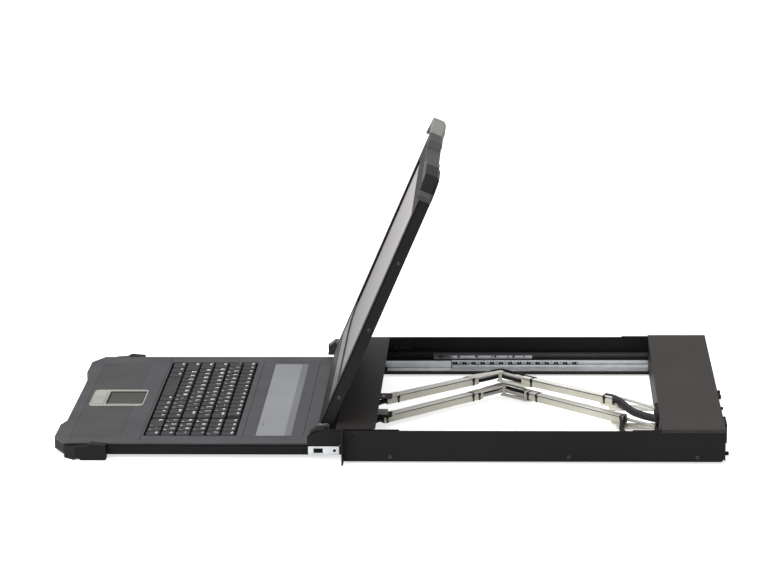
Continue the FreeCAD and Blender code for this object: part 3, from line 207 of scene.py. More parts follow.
def makeSurface(name, kind, look):
    # on a colour Mix node, inputs 6 and 7 are the two colours and output 2 is the result
    values = {**surfaces[kind], **look}
    shader = dict(values["shader"])
    for key, socket in (("shine", "Specular IOR Level"), ("coat", "Coat Weight")):
        if key in values:
            shader[socket] = values[key]
    material, tree, surface, coords = newMaterial(name, shader)
    place = coords.outputs["Object"]
    drawn = addNode(tree, "ShaderNodeMapping", {"Scale": (1, 1 / values["stretch"], 1)}, {"Vector": place})
    patches = addNode(tree, "ShaderNodeTexNoise", {"Scale": 1 / (values["patchMm"] * mm),
                                                   "Detail": values["patchDetail"]}, {"Vector": place})
    fineSizes = [values[key] for key in ("grainMm", "reliefMm") if key in values]
    fine = [addNode(tree, "ShaderNodeTexNoise", {"Scale": 1 / (size * mm), "Detail": values["grainDetail"]},
                    {"Vector": drawn.outputs[0]}).outputs["Fac"] for size in fineSizes]
    grain, relief = fine[0], fine[-1]
    share = addNode(tree, "ShaderNodeMapRange", noiseSpan, {"Value": patches.outputs["Fac"]})
    if "speck" in values:
        share = addNode(tree, "ShaderNodeMath", {"operation": "MULTIPLY_ADD", 1: values["speck"]},
                        {0: grain, 2: share.outputs[0]})
    colour = addNode(tree, "ShaderNodeMix", {"data_type": "RGBA", 6: linearColour(values["dark"]),
                                             7: linearColour(values["pale"])}, {0: share.outputs[0]})
    # painted reflection: a low colour darkens the surface toward the bottom of the piece, fully below lowMm and
    # fading out at highMm
    if "low" in values:
        height = addNode(tree, "ShaderNodeSeparateXYZ", links={0: place})
        rise = addNode(tree, "ShaderNodeMapRange", {"From Min": values["lowMm"] * mm,
                                                    "From Max": values["highMm"] * mm},
                       {"Value": height.outputs["Z"]})
        colour = addNode(tree, "ShaderNodeMix", {"data_type": "RGBA", 6: linearColour(values["low"])},
                         {0: rise.outputs[0], 7: colour.outputs[2]})
    tree.links.new(colour.outputs[2], surface.inputs["Base Color"])
    dull = addNode(tree, "ShaderNodeMapRange", {**noiseSpan, "To Min": values["roughness"] - values["below"],
                                                "To Max": values["roughness"] + values["above"]}, {"Value": grain})
    tree.links.new(dull.outputs[0], surface.inputs["Roughness"])
    addRelief(tree, surface, relief, values["depthMm"], values["edgeMm"])
    return material


def makeBraid():
    # polyester braid over a bundle: two sets of strands that cross, counted round the sleeve
    # and along an equal length of it
    material, tree, surface, coords = newMaterial("black braided sleeve",
                                                  {"IOR": 1.5, "Roughness": braid["roughness"]})
    turned = addNode(tree, "ShaderNodeMapping", {"Scale": (braid["strandsRound"], braid["strandsAlong"], 1),
                                                 "Rotation": (0, 0, math.radians(braid["slant"]))},
                     {"Vector": coords.outputs["UV"]})
    check = addNode(tree, "ShaderNodeTexChecker", {"Scale": 1.0}, {"Vector": turned.outputs[0]})
    colour = addNode(tree, "ShaderNodeMix", {"data_type": "RGBA", 6: linearColour(braid["dark"]),
                                             7: linearColour(braid["pale"])}, {0: check.outputs["Fac"]})
    tree.links.new(colour.outputs[2], surface.inputs["Base Color"])
    addRelief(tree, surface, check.outputs["Fac"], braid["depthMm"], braid["edgeMm"])
    return material


def makeBoardGreen():
    # glass epoxy with a green mask over copper tracks: square steps of two greens
    material, tree, surface, coords = newMaterial("green circuit board",
                                                  {"IOR": 1.55, "Roughness": board["roughness"]})
    tracks = addNode(tree, "ShaderNodeTexVoronoi", {"distance": "CHEBYCHEV", "Scale": 1 / (board["trackMm"] * mm)},
                     {"Vector": coords.outputs["Object"]})
    share = addNode(tree, "ShaderNodeMapRange", noiseSpan, {"Value": tracks.outputs["Distance"]})
    colour = addNode(tree, "ShaderNodeMix", {"data_type": "RGBA", 6: linearColour(board["dark"]),
                                             7: linearColour(board["pale"])}, {0: share.outputs[0]})
    tree.links.new(colour.outputs[2], surface.inputs["Base Color"])
    addRelief(tree, surface, tracks.outputs["Distance"], board["depthMm"], board["edgeMm"])
    return material


finishes = {key: makeSurface(*row) for key, row in looks.items()}
finishes["braid"] = makeBraid()
finishes["board"] = makeBoardGreen()

nodeFinish = {
    "chassisPaint": ["left_side_rail", "right_side_rail", "rack_ears", "rear_box", "rear_panel", "carriage_sides",
                     "display_shell", "carriage_stops"],
    "trayPaint": ["tray_pan", "hinge_blocks", "tray_runners"],
    "screwSteel": ["chassis_screws", "display_screws"],
    "coverPaint": ["rear_cover", "carriage_deck"],
    "slideCoat": ["slide_mounts", "display_channels"],
    "slideZinc": ["tray_channels"],
    "zinc": ["display_ball_cages", "tray_ball_cages", "stop_plates", "hinge_trims",
             "display_hinges", "video_port", "usb_ports"],
    "blackAbs": ["power_inlet", "power_switch", "keyboard_base"],
    "dullAbs": ["side_tabs", "display_corner_pads", "tray_arm_tongue"],
    "creamPaint": ["arm_anchors"],
    "board": ["main_board", "display_board"],
    "rubber": ["cable_grommets"],
    "blackJacket": ["rear_leads", "display_front_leads", "tray_front_leads", "display_elbow_leads",
                    "tray_elbow_leads"],
    "bezelAbs": ["display_bezel"],
    "deckAbs": ["tray_deck"],
    "capAbs": ["display_end_cap"],
    "screenFilm": ["display_screen"],
    "palmAbs": ["palm_inset"],
    "padFilm": ["touchpad"],
    "silverPaint": ["touchpad_frame", "left_pad_button", "right_pad_button"],
    "lampAcrylic": ["lamp_panel"],
    "keyAbs": ["space_row", "lower_row", "home_row", "upper_row", "number_row", "function_row"],
    "ivoryPvc": ["display_rear_arm", "display_front_arm", "tray_rear_arm", "tray_front_arm"],
}
for finish, names in nodeFinish.items():
    for name in names:
        mesh = nodes[name].data
        mesh.materials.clear()
        mesh.materials.append(finishes[finish])
print("materials made:", len(finishes))


# every outline from here on is in millimetres and every mesh in metres
def newPiece(name, shape, finish, body, smooth=False):
    mesh = bpy.data.meshes.new(name)
    bmesh.ops.recalc_face_normals(shape, faces=shape.faces)
    shape.to_mesh(mesh)
    shape.free()
    mesh.materials.append(finishes[finish])
    if smooth:
        mesh.shade_smooth()
    piece = bpy.data.objects.new(name, mesh)
    bpy.context.scene.collection.objects.link(piece)
    if body:
        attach(piece, body)
    return piece


def roundCorners(corners, steps=4):
    # corners are (a, b, radius); each round one becomes a short arc
    outline = []
    count = len(corners)
    for index, (a, b, radius) in enumerate(corners):
        here = Vector((a, b))
        if radius == 0:
            outline.append(here)
            continue
        before = (Vector(corners[index - 1][:2]) - here).normalized()
        after = (Vector(corners[(index + 1) % count][:2]) - here).normalized()
        half = before.angle(after) / 2
        centre = here + (before + after).normalized() * (radius / math.sin(half))
        start = here + before * (radius / math.tan(half)) - centre
        turn = start.angle_signed(here + after * (radius / math.tan(half)) - centre)
        for step in range(steps + 1):
            outline.append(centre + Matrix.Rotation(-turn * step / steps, 2) @ start)
    return outline


def roundedRing(x0, x1, y0, y1, radius, steps=3):
    return roundCorners([(x0, y0, radius), (x1, y0, radius), (x1, y1, radius), (x0, y1, radius)], steps)


def skin(shape, rings):
    # rings of equal length joined by quads, with a face on each end
    loops = [[shape.verts.new(Vector(p) * mm) for p in ring] for ring in rings]
    for low, high in zip(loops, loops[1:]):
        count = len(low)
        for k in range(count):
            shape.faces.new((low[k], low[(k + 1) % count], high[(k + 1) % count], high[k]))
    shape.faces.new(loops[0])
    shape.faces.new(loops[-1])


def addBlock(shape, place, along, across, up, size):
    # rectangular block centred on a place, in millimetres, with its own three directions
    halfA, halfB, halfC = (s / 2 for s in size)
    rings = []
    for end in (-halfC, halfC):
        rings.append([place + along * a + across * b + up * end
                      for a, b in ((-halfA, -halfB), (halfA, -halfB), (halfA, halfB), (-halfA, halfB))])
    skin(shape, rings)


def addPlate(shape, outline, z0, z1, toWorld=None):
    # flat plate in plan; toWorld takes (a, b, z) in millimetres to the row frame
    put = toWorld or (lambda a, b, z: (a, b, z))
    skin(shape, [[put(p[0], p[1], z) for p in outline] for z in (z0, z1)])


def addTurned(shape, place, axis, profile, sides=20):
    # body turned about an axis from (radius, height) pairs
    axis = axis.normalized()
    across = axis.orthogonal().normalized()
    over = axis.cross(across)
    rings = []
    for radius, height in profile:
        rings.append([place + axis * height + (across * math.cos(t) + over * math.sin(t)) * max(radius, 0.01)
                      for t in (2 * math.pi * k / sides for k in range(sides))])
    skin(shape, rings)


def smoothPath(points, steps=8):
    # a curve through the points, without overshoot at the ends
    full = [Vector(p) for p in points]
    full = [full[0] * 2 - full[1]] + full + [full[-1] * 2 - full[-2]]
    path = []
    for before, start, end, after in zip(full, full[1:], full[2:], full[3:]):
        for step in range(steps):
            t = step / steps
            path.append(0.5 * ((2 * start) + (end - before) * t + (2 * before - 5 * start + 4 * end - after) * t * t
                               + (3 * start - before - 3 * end + after) * t ** 3))
    return path + [full[-2]]


def addTube(shape, points, radius, sides=12, flat=1.0):
    # round or oval lead along a path, with its own coordinates round and along for the braid
    layer = shape.loops.layers.uv.verify()
    rings = []
    across = None
    run = [0.0]
    for index, point in enumerate(points):
        ahead = (points[min(index + 1, len(points) - 1)] - points[max(index - 1, 0)]).normalized()
        if across is None:
            across = ahead.cross(Vector((0, 0, 1))).normalized()
        across = (across - ahead * across.dot(ahead)).normalized()
        over = ahead.cross(across)
        rings.append([shape.verts.new((point + (across * math.cos(t) + over * (flat * math.sin(t))) * radius) * mm)
                      for t in (2 * math.pi * k / sides for k in range(sides))])
        if index:
            run.append(run[-1] + (point - points[index - 1]).length / (2 * math.pi * radius))
    for index in range(len(rings) - 1):
        low, high = rings[index], rings[index + 1]
        for k in range(sides):
            face = shape.faces.new((low[k], low[(k + 1) % sides], high[(k + 1) % sides], high[k]))
            corners = ((k, index), (k + 1, index), (k + 1, index + 1), (k, index + 1))
            for loop, (turn, step) in zip(face.loops, corners):
                loop[layer].uv = (turn / sides, run[step])
    shape.faces.new(rings[0])
    shape.faces.new(rings[-1])


# a cap tapers from low to top, and dish gives (inset, height) steps over its top
keys = {
    "wellHalf": 171.0, "wellFront": -262.5, "margin": 1.6, "pitch": 118.3 / 6, "gap": 1.2,
    "low": -8.9, "top": -2.9, "taper": 1.6, "frontShare": 0.5, "rearShare": 0.3,
    "footRadius": 1.2, "topRadius": 2.2,
    "dish": [(0.0, -0.55), (0.35, -0.15), (0.9, 0.0), (2.6, -0.28), (5.2, -0.45)],
    "cornerEase": 0.35, "leastRadius": 0.4,
    "legendSize": 5.4, "wordSize": 3.4, "legendInset": 1.9, "secondSize": 3.0,
    "letterScale": 1.35, "boldness": 0.035, "inkRise": 0.05,
    "paired": {"1": "!", "2": "@", "3": "#", "4": "$", "5": "%", "6": "^", "7": "&", "8": "*", "9": "(", "0": ")",
               "-": "_", "=": "+", ",": "<", ".": ">", "/": "?", ";": ":", "'": '"', "[": "{", "]": "}",
               "Q": "7", "U": "4", "I": "5", "O": "6", "J": "1", "K": "2", "L": "3", "M": "0"},
}
# widths are in key units, and a negative one is the gap before the number block
block = [1.0] * 4
keyRows = {
    "space_row": ([1.5, 1.25, 1.25, 5.0, 1.25, 1.25, 1.0, 1.0, 1.0, -0.25, 2.0, 1.0, 1.0],
                  ["Ctrl", "Fn", "Alt", "", "Alt", "Ctrl", "<", "v", ">", "0", ".", "Ent"]),
    "lower_row": ([2.25] + [1.0] * 10 + [1.25, 1.0, -0.25] + block,
                  ["Shift"] + list("ZXCVBNM,./") + ["Shift", "^", "1", "2", "3", "+"]),
    "home_row": ([1.75] + [1.0] * 11 + [1.75, -0.25] + block,
                 ["Caps"] + list("ASDFGHJKL;'") + ["Enter", "4", "5", "6", "-"]),
    "upper_row": ([1.5] + [1.0] * 13 + [-0.25] + block,
                  ["Tab"] + list("QWERTYUIOP[]\\") + ["7", "8", "9", "*"]),
    "number_row": ([1.0] * 13 + [1.5, -0.25] + block,
                   list("`1234567890-=") + ["Back", "Num", "Hm", "Up", "/"]),
    "function_row": ([1.0] * 14 + [-0.75] + block,
                     ["Esc"] + ["F%d" % k for k in range(1, 13)] + ["Del", "Ins", "Prt", "Scr", "Pse"]),
}
letters = {}


def letterMesh(label, size):
    # the strokes of a legend as flat faces, about the origin, kept so that each is made once
    if (label, size) not in letters:
        data = bpy.data.curves.new("legend", "FONT")
        data.body = label
        data.size = size * mm * keys["letterScale"]
        data.resolution_u = 2
        data.offset = size * mm * keys["boldness"]
        holder = bpy.data.objects.new("legend", data)
        mesh = bpy.data.meshes.new_from_object(holder)
        letters[label, size] = ([v.co / mm for v in mesh.vertices], [tuple(p.vertices) for p in mesh.polygons])
        bpy.data.objects.remove(holder)
        bpy.data.curves.remove(data)
        bpy.data.meshes.remove(mesh)
    return letters[label, size]


def dishHeight(inset):
    steps = keys["dish"]
    for (i0, h0), (i1, h1) in zip(steps, steps[1:]):
        if inset <= i1:
            return h0 + (h1 - h0) * max(inset - i0, 0) / (i1 - i0)
    return steps[-1][1]


def addKey(shape, x0, x1, y0, y1):
    # a cap: a tapered skirt, a soft shoulder and a shallow dish
    foot = roundedRing(x0, x1, y0, y1, keys["footRadius"])
    rings = [[(p.x, p.y, keys["low"]) for p in foot]]
    for inset, height in keys["dish"]:
        side = keys["taper"] + inset
        radius = max(keys["topRadius"] - inset * keys["cornerEase"], keys["leastRadius"])
        ring = roundedRing(x0 + side, x1 - side, y0 + keys["taper"] * keys["frontShare"] + inset,
                           y1 - keys["taper"] * keys["rearShare"] - inset, radius)
        rings.append([(p.x, p.y, keys["top"] + height) for p in ring])
    skin(shape, rings)


def addLegend(shape, label, x0, x1, y0, y1):
    # the main legend at the rear left of the cap, and a small second one at its front right
    size = keys["legendSize"] if len(label) == 1 else keys["wordSize"]
    rear = y1 - keys["taper"] * keys["rearShare"] - keys["legendInset"]
    addStrokes(shape, label, size, x0 + keys["taper"] + keys["legendInset"], rear - size, (x0, x1, y0, y1))
    if label in keys["paired"]:
        size = keys["secondSize"]
        front = y0 + keys["taper"] * keys["frontShare"] + keys["legendInset"]
        addStrokes(shape, keys["paired"][label], size, x1 - keys["taper"] - keys["legendInset"] - size, front,
                   (x0, x1, y0, y1))


def addStrokes(shape, label, size, left, base, cap):
    # the ink follows the dish of its cap
    x0, x1, y0, y1 = cap
    points, polygons = letterMesh(label, size)
    corners = []
    for point in points:
        x = left + point.x
        y = base + point.y
        inset = min(x - x0 - keys["taper"], x1 - keys["taper"] - x, y - y0 - keys["taper"] * keys["frontShare"],
                    y1 - keys["taper"] * keys["rearShare"] - y)
        corners.append(shape.verts.new(Vector((x, y, keys["top"] + dishHeight(inset) + keys["inkRise"])) * mm))
    for polygon in polygons:
        shape.faces.new([corners[k] for k in polygon])


def makeKeyboard():
    for rank, (row, (widths, labels)) in enumerate(keyRows.items()):
        unit = 2 * (keys["wellHalf"] - keys["margin"]) / sum(abs(width) for width in widths)
        x = keys["margin"] - keys["wellHalf"]
        y0 = keys["wellFront"] + keys["margin"] + rank * keys["pitch"] + keys["gap"] / 2
        y1 = y0 + keys["pitch"] - keys["gap"]
        caps = bmesh.new()
        ink = bmesh.new()
        names = iter(labels)
        for width in widths:
            step = abs(width) * unit
            if width > 0:
                x0 = x + keys["gap"] / 2
                x1 = x + step - keys["gap"] / 2
                addKey(caps, x0, x1, y0, y1)
                addLegend(ink, next(names), x0, x1, y0, y1)
            x += step
        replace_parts(newPiece(row + "Caps", caps, "keyAbs", row), row)
        newPiece(row + "Legends", ink, "legendInk", row)


makeKeyboard()
print("keyboard made")


# two folding cable arms, each a front and a rear duct with a lid, painted strips and ties
arms = {
    "display": {"x": 62.0, "rearY": 355.0, "reach": 122.0, "bottom": 3.6, "tail": 8.0,
                "frontTies": (45.0, 171.0), "rearTies": (53.0, 176.0)},
    "tray": {"x": 74.0, "rearY": 365.0, "reach": 140.0, "bottom": -18.2, "tail": 3.0,
             "frontTies": (43.0, 54.0, 204.0), "rearTies": (43.0, 58.0, 206.0)},
}
armSizes = {
    "frontY": 46.0, "width": 9.5, "height": 11.0, "wall": 1.2, "offset": 1.2, "cut": 36.0,
    "play": 0.4, "strip": 1.2, "half": 4.5, "seam": 0.4,
    "lidLap": 0.5, "lidDepth": 0.9, "lidSheet": 0.7, "lidFit": 0.05, "lidShort": 0.5,
    "gapWide": 0.3, "gapDeep": 1.1, "gapShort": 1.0,
    "nearStrip": {"slope": 8.0, "lap": 14.0, "back": 4.0, "start": 6.0},
    "farStrip": {"lap": 20.0, "slope": 14.0, "back": 6.0},
    "bendRadius": 3.0, "innerRadius": 5.0, "endTrim": 0.1, "heelTrim": 1.0, "edgeIn": 1.0,
    "pivot": {"radius": 2.5, "above": 1.8, "below": 0.6, "bevel": 0.4},
    "rivet": {"in": 4.0, "near": 8.0, "far": 10.0, "radius": 2.2, "top": 1.6, "edge": 0.25, "rise": 0.5},
    "tieWidth": 2.6, "tieThick": 0.35, "tieFit": 0.02, "buckle": (4.4, 0.3, 4.4), "buckleOut": 0.2, "buckleDrop": 3.0,
}
for arm in arms.values():
    halfOpen = (arm["rearY"] - armSizes["frontY"]) / 2
    arm["length"] = math.hypot(arm["reach"], halfOpen)
    arm["elbow"] = Vector((arm["x"] - arm["reach"], (arm["rearY"] + armSizes["frontY"]) / 2, 0))
    arm["angle"] = math.acos(halfOpen / arm["length"])
    arm["middle"] = arm["bottom"] + armSizes["height"] / 2 + armSizes["play"] / 2


def onArm(arm, front):
    # takes (distance from the elbow, distance to the outside, height) to the row frame, in millimetres
    turn = math.pi / 2 - arm["angle"]
    sign = -1 if front else 1
    along = Vector((math.cos(turn), sign * math.sin(turn), 0))
    outside = Vector((-math.sin(turn), sign * math.cos(turn), 0))
    return lambda a, b, z: arm["elbow"] + along * a + outside * b + Vector((0, 0, z))


def makeArm(name, arm, front):
    s = armSizes
    body = name + ("_front_arm" if front else "_rear_arm")
    put = onArm(arm, front)
    low = arm["bottom"] + (s["play"] if front else 0)
    high = low + s["height"]
    cut, tip, tail = s["cut"], arm["length"], arm["length"] - arm["tail"]
    inner, outer = s["offset"], s["offset"] + s["width"]

    # the duct is an open channel below a lid that laps over its walls
    wall, seam, lap, fit = s["wall"], high - s["seam"], s["lidLap"], s["lidFit"]
    duct = bmesh.new()
    section = [(inner, low), (outer, low), (outer, seam), (outer - wall, seam), (outer - wall, low + wall),
               (inner + wall, low + wall), (inner + wall, seam), (inner, seam)]
    skin(duct, [[put(a, b, z) for b, z in section] for a in (cut, tail)])
    piece = newPiece(body + "Duct", duct, "ivoryPvc", body)
    drop = seam - s["lidDepth"]
    sheet = high - s["lidSheet"]
    section = [(inner - lap, drop), (inner - fit, drop), (inner - fit, sheet), (outer + fit, sheet),
               (outer + fit, drop), (outer + lap, drop), (outer + lap, high), (inner - lap, high)]
    lid = bmesh.new()
    skin(lid, [[put(a, b, z) for b, z in section] for a in (cut + s["lidShort"], tail - s["lidShort"])])
    newPiece(body + "Lid", lid, "palePvc", body)
    # a thin dark strip of painted shade below the lid's inner lap, in the gap between lid and duct wall
    section = [(inner - s["gapWide"], drop - s["gapDeep"]), (inner, drop - s["gapDeep"]), (inner, drop),
               (inner - s["gapWide"], drop)]
    line = bmesh.new()
    skin(line, [[put(a, b, z) for b, z in section] for a in (cut + s["gapShort"], tail - s["gapShort"])])
    newPiece(body + "LidGapShade", line, "gapShadow", body)

    # painted strip from the elbow to the duct and from the duct to the pivot, with its pins
    half, edge, bend, trim = s["half"], outer - s["edgeIn"], s["bendRadius"], s["half"] - s["endTrim"]
    z0 = high if front else low - s["strip"]
    z1 = z0 + s["strip"]
    side = s["nearStrip"]
    near = roundCorners([(-half, -half, trim), (cut + side["slope"], -half, bend), (cut + side["lap"], inner, 0),
                         (cut + side["lap"], edge, 0), (cut - side["back"], edge, s["innerRadius"]),
                         (side["start"], half, bend), (-half, half, half - s["heelTrim"])])
    side = s["farStrip"]
    far = roundCorners([(tail - side["lap"], inner, 0), (tail - side["slope"], -half, bend),
                        (tip + half, -half, trim), (tip + half, half, trim), (tail - side["back"], edge, bend),
                        (tail - side["lap"], edge, 0)])
    strips = bmesh.new()
    addPlate(strips, near, z0, z1, put)
    addPlate(strips, far, z0, z1, put)
    up = Vector((0, 0, 1))
    pin = s["pivot"]
    pinLow = z0 if front else low - s["strip"]
    pinHigh = z1 + pin["above"] if front else high + s["play"] + s["strip"] + pin["below"]
    tall = pinHigh - pinLow
    addTurned(strips, put(tip if front else 0, 0, pinLow), up,
              [(pin["radius"], 0), (pin["radius"], tall - pin["bevel"]), (pin["radius"] - pin["bevel"], tall)])
    rivet = s["rivet"]
    head = [(rivet["radius"], 0), (rivet["radius"], rivet["edge"]), (rivet["top"], rivet["rise"])]
    for a in (cut + rivet["near"], tail - rivet["far"]):
        addTurned(strips, put(a, inner + rivet["in"], z1 if front else z0 - rivet["rise"]), up, head, sides=14)
    newPiece(body + "Strips", strips, "creamPaint", body)
    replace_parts(piece, body)

    # black ties round the duct
    ties = bmesh.new()
    out, gap, w = s["tieThick"], s["tieFit"], s["tieWidth"] / 2
    hoop = [(inner - lap - out, low - out), (outer + lap + out, low - out), (outer + lap + out, high + out),
            (inner - lap - out, high + out)]
    hole = [(inner - lap, low - gap), (outer + lap, low - gap), (outer + lap, high + gap), (inner - lap, high + gap)]
    for a in arm["frontTies" if front else "rearTies"]:
        loops = [[ties.verts.new(put(a + e, b, z) * mm) for b, z in ring]
                 for ring, e in ((hoop, -w), (hoop, w), (hole, w), (hole, -w))]
        for k in range(4):
            first, second = loops[k], loops[(k + 1) % 4]
            for c in range(4):
                ties.faces.new((first[c], first[(c + 1) % 4], second[(c + 1) % 4], second[c]))
        addBlock(ties, put(a, inner - lap - s["buckleOut"], high - s["buckleDrop"]), *armDirections(put), s["buckle"])
    newPiece(body + "Ties", ties, "tieNylon", body)


def armDirections(put):
    # along the arm, out of it and up
    origin = put(0, 0, 0)
    return put(1, 0, 0) - origin, put(0, 1, 0) - origin, Vector((0, 0, 1))


for name, arm in arms.items():
    for front in (False, True):
        makeArm(name, arm, front)


elbow = {"inside": 20.0, "mouth": 2.0, "swing": 16.0, "blendReach": 30.0}
elbowLeads = {
    "display": [
        {"name": "Outer", "out": 8.0, "high": 10.6, "bow": 3.0, "near": 12.0, "apex": 15.0, "radius": 1.5,
         "finish": "blackJacket"},
        {"name": "Middle", "out": 6.4, "high": 6.6, "bow": 1.0, "near": 10.0, "apex": 11.0, "radius": 2.4,
         "finish": "whiteJacket"},
        {"name": "Inner", "out": 4.0, "high": 3.2, "bow": 0.0, "near": 9.0, "apex": 7.0, "radius": 2.2,
         "finish": "blackJacket"},
    ],
    "tray": [
        {"name": "Outer", "out": 8.0, "high": 10.4, "bow": 3.0, "near": 12.0, "apex": 16.0, "radius": 1.9,
         "finish": "greyJacket"},
        {"name": "Middle", "out": 6.0, "high": 6.6, "bow": 1.5, "near": 10.0, "apex": 11.5, "radius": 2.6,
         "finish": "blackJacket"},
        {"name": "Inner", "out": 4.2, "high": 3.0, "bow": 0.0, "near": 8.0, "apex": 6.0, "radius": 2.2,
         "finish": "whiteJacket"},
    ],
}


def makeElbowLeads(name, arm, leads):
    # leads that leave one duct, bow round the outside of the elbow and enter the other
    s = armSizes
    inside, mouth, swing = s["cut"] + elbow["inside"], s["cut"] + elbow["mouth"], s["cut"] - elbow["swing"]
    rear, front = onArm(arm, False), onArm(arm, True)
    first = None
    for lead in leads:
        o, z = s["offset"] + lead["out"], arm["bottom"] + lead["high"]
        wide = o + lead["bow"]
        points = [rear(inside, o, z), rear(mouth, o, z), rear(swing, wide, z), rear(lead["near"], wide, z),
                  arm["elbow"] + Vector((-lead["apex"], 0, z)),
                  front(lead["near"], wide, z), front(swing, wide, z), front(mouth, o, z), front(inside, o, z)]
        shape = bmesh.new()
        addTube(shape, smoothPath(points), lead["radius"])
        piece = newPiece(name + "Elbow" + lead["name"], shape, lead["finish"], None, True)
        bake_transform(piece)
        first = first or piece
    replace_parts(first, name + "_elbow_leads")


for name, leads in elbowLeads.items():
    makeElbowLeads(name, arms[name], leads)
print("cable arms made")


# leads from the rear ends of the arms to the wall; a hole is (across, height)
rearEnds = {"wallY": 408.0, "inside": 14.0, "mouth": 1.0, "displayRise": 2.0, "before": 2.0, "beyond": 4.0,
            "blendAway": (34, 26, 0), "blendNear": 0.3}
rearRuns = [
    {"name": "braidedBundle", "arm": "display", "out": 5.5, "radius": 5.1, "finish": "braid",
     "through": [(60, 361, 8.5), (76, 368, 7.0), (92, 376, 5.6), (105, 388, 4.6), (114, 400, 4.0)],
     "hole": (117, 3.8)},
    {"name": "displayWhiteLead", "arm": "display", "out": 8.5, "radius": 2.0, "finish": "whiteJacket",
     "through": [(46, 364, 9.6), (58, 378, 9.2), (74, 394, 9.0)], "hole": (90, 9.6)},
    {"name": "trayBlackLead", "arm": "tray", "out": 4.5, "radius": 3.2, "finish": "blackJacket",
     "through": [(84, 363, -12.6), (104, 361, -15.0), (122, 368, -15.6), (129, 388, -13.0)], "hole": (126, -11.6)},
    {"name": "trayWhiteLead", "arm": "tray", "out": 8.0, "radius": 2.0, "finish": "whiteJacket",
     "through": [(76, 375, -11.6), (84, 387, -11.6), (95, 399, -11.8)], "hole": (110, -11.6)},
]


def makeRearRuns():
    for run in rearRuns:
        arm = arms[run["arm"]]
        put = onArm(arm, False)
        end = arm["length"] - arm["tail"]
        x, z = run["hole"]
        out = armSizes["offset"] + run["out"]
        high = arm["middle"] + (rearEnds["displayRise"] if run["arm"] == "display" else 0.0)
        points = [put(end - rearEnds["inside"], out, high), put(end - rearEnds["mouth"], out, high)]
        points += [Vector(p) for p in run["through"]]
        points += [Vector((x, rearEnds["wallY"] + y, z)) for y in (-rearEnds["before"], rearEnds["beyond"])]
        shape = bmesh.new()
        addTube(shape, smoothPath(points), run["radius"], sides=16)
        piece = newPiece(run["name"], shape, run["finish"], None, True)
        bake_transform(piece)
        if run["name"] == "braidedBundle":
            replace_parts(piece, "rear_leads")


# each boot is (x0, x1, z0, z1, corner radius), and its profile is (inset, depth off the wall)
boots = {"outlines": [(82.5, 129, -3.0, 17.0, 8.0), (108, 135, -19.4, -4.0, 7.0)], "cornerEase": 0.6,
         "profile": [(0, 0), (0, 2.6), (1.0, 3.8), (2.4, 4.2), (3.6, 3.4), (4.0, 1.6)]}


def makeBoots():
    # soft oblong boots where the leads of each arm pass through the wall
    shape = bmesh.new()
    for x0, x1, z0, z1, corner in boots["outlines"]:
        rings = []
        for inset, depth in boots["profile"]:
            radius = corner - inset * boots["cornerEase"]
            ring = roundedRing(x0 + inset, x1 - inset, z0 + inset, z1 - inset, radius, steps=5)
            rings.append([(p.x, rearEnds["wallY"] - depth, p.y) for p in ring])
        skin(shape, rings)
    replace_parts(newPiece("leadBoots", shape, "rubber", "chassis"), "cable_grommets")


makeRearRuns()
makeBoots()

# short ends of lead at the front of each arm; the run is (beyond the duct, outward)
frontStubs = {
    "displayBlackStub": {"arm": "display", "high": 4.0}, "trayBlackStub": {"arm": "tray", "high": 5.6},
}
stubShape = {"out": 5.0, "radius": 3.8, "flat": 0.85, "run": [(-10, 0), (0, 0), (8, -1), (15, -3)]}
for name, stub in frontStubs.items():
    arm = arms[stub["arm"]]
    put = onArm(arm, True)
    end = arm["length"] - arm["tail"]
    out, z = armSizes["offset"] + stubShape["out"], arm["bottom"] + armSizes["play"] + stub["high"]
    shape = bmesh.new()
    points = [put(end + beyond, out + side, z) for beyond, side in stubShape["run"]]
    addTube(shape, smoothPath(points), stubShape["radius"], sides=16, flat=stubShape["flat"])
    newPiece(name, shape, "blackJacket", stub["arm"] + "_front_arm", True)

# the display's grey lead on its way up to the hinge, clear of the arm
greyLead = {"radius": 4.0, "through": [(83, 53, 2.0), (83, 45, 2.0), (82, 36, 2.2), (80, 24, 2.6)]}
greyRun = bmesh.new()
addTube(greyRun, smoothPath(greyLead["through"]), greyLead["radius"], sides=16)
newPiece("displayGreyLead", greyRun, "greyJacket", "display_carriage", True)
print("leads made")


display = {"hinge": (-24.0, 8.0), "lean": math.radians(66.25), "half": 173.0, "windowLow": 29.0, "bandTop": 58.0,
           "sweepWide": 70.0, "sweepTall": 22.0, "film": 6.8, "band": 9.4, "farSide": -60.0}
deck = {"padTop": -3.7, "pad": (-28.0, 31.0, -331.0, -281.0), "line": (2.8, 1.3, 5.0, 1.0),
        "lampTop": -3.6, "lamp": (-162.3, 169.8, -115.8, -69.2), "bandDepth": 9.0,
        "lampDot": (120.0, -110.0), "dotRadius": 1.6, "rise": 0.1, "thick": 0.3}
runner = {"inner": 200.0, "front": -8.0, "rear": 131.0, "low": -19.2, "high": -9.6, "thick": 0.3,
          "endShort": 4.0, "backShift": 1.0}
fittings = {"rear": 489.0, "out": 494.3, "depth": 0.6,
            "collar": [(153.0, 11.6, 34.0, 2.4), (153.0, -11.6, 34.0, 2.4), (137.2, 0.0, 2.4, 20.8),
                       (168.8, 0.0, 2.4, 20.8)],
            "posts": [(50.0, 13.0, 3.2), (30.0, 13.0, 3.2), (92.0, 10.0, 2.2), (206.0, -15.0, 2.6)]}


def onDisplay(x, u, b):
    # takes (across, up the display from its hinge, out of its face) to the row frame, in millimetres
    lean = display["lean"]
    y, z = display["hinge"]
    return (x, y + u * math.cos(lean) - b * math.sin(lean), z + u * math.sin(lean) + b * math.cos(lean))


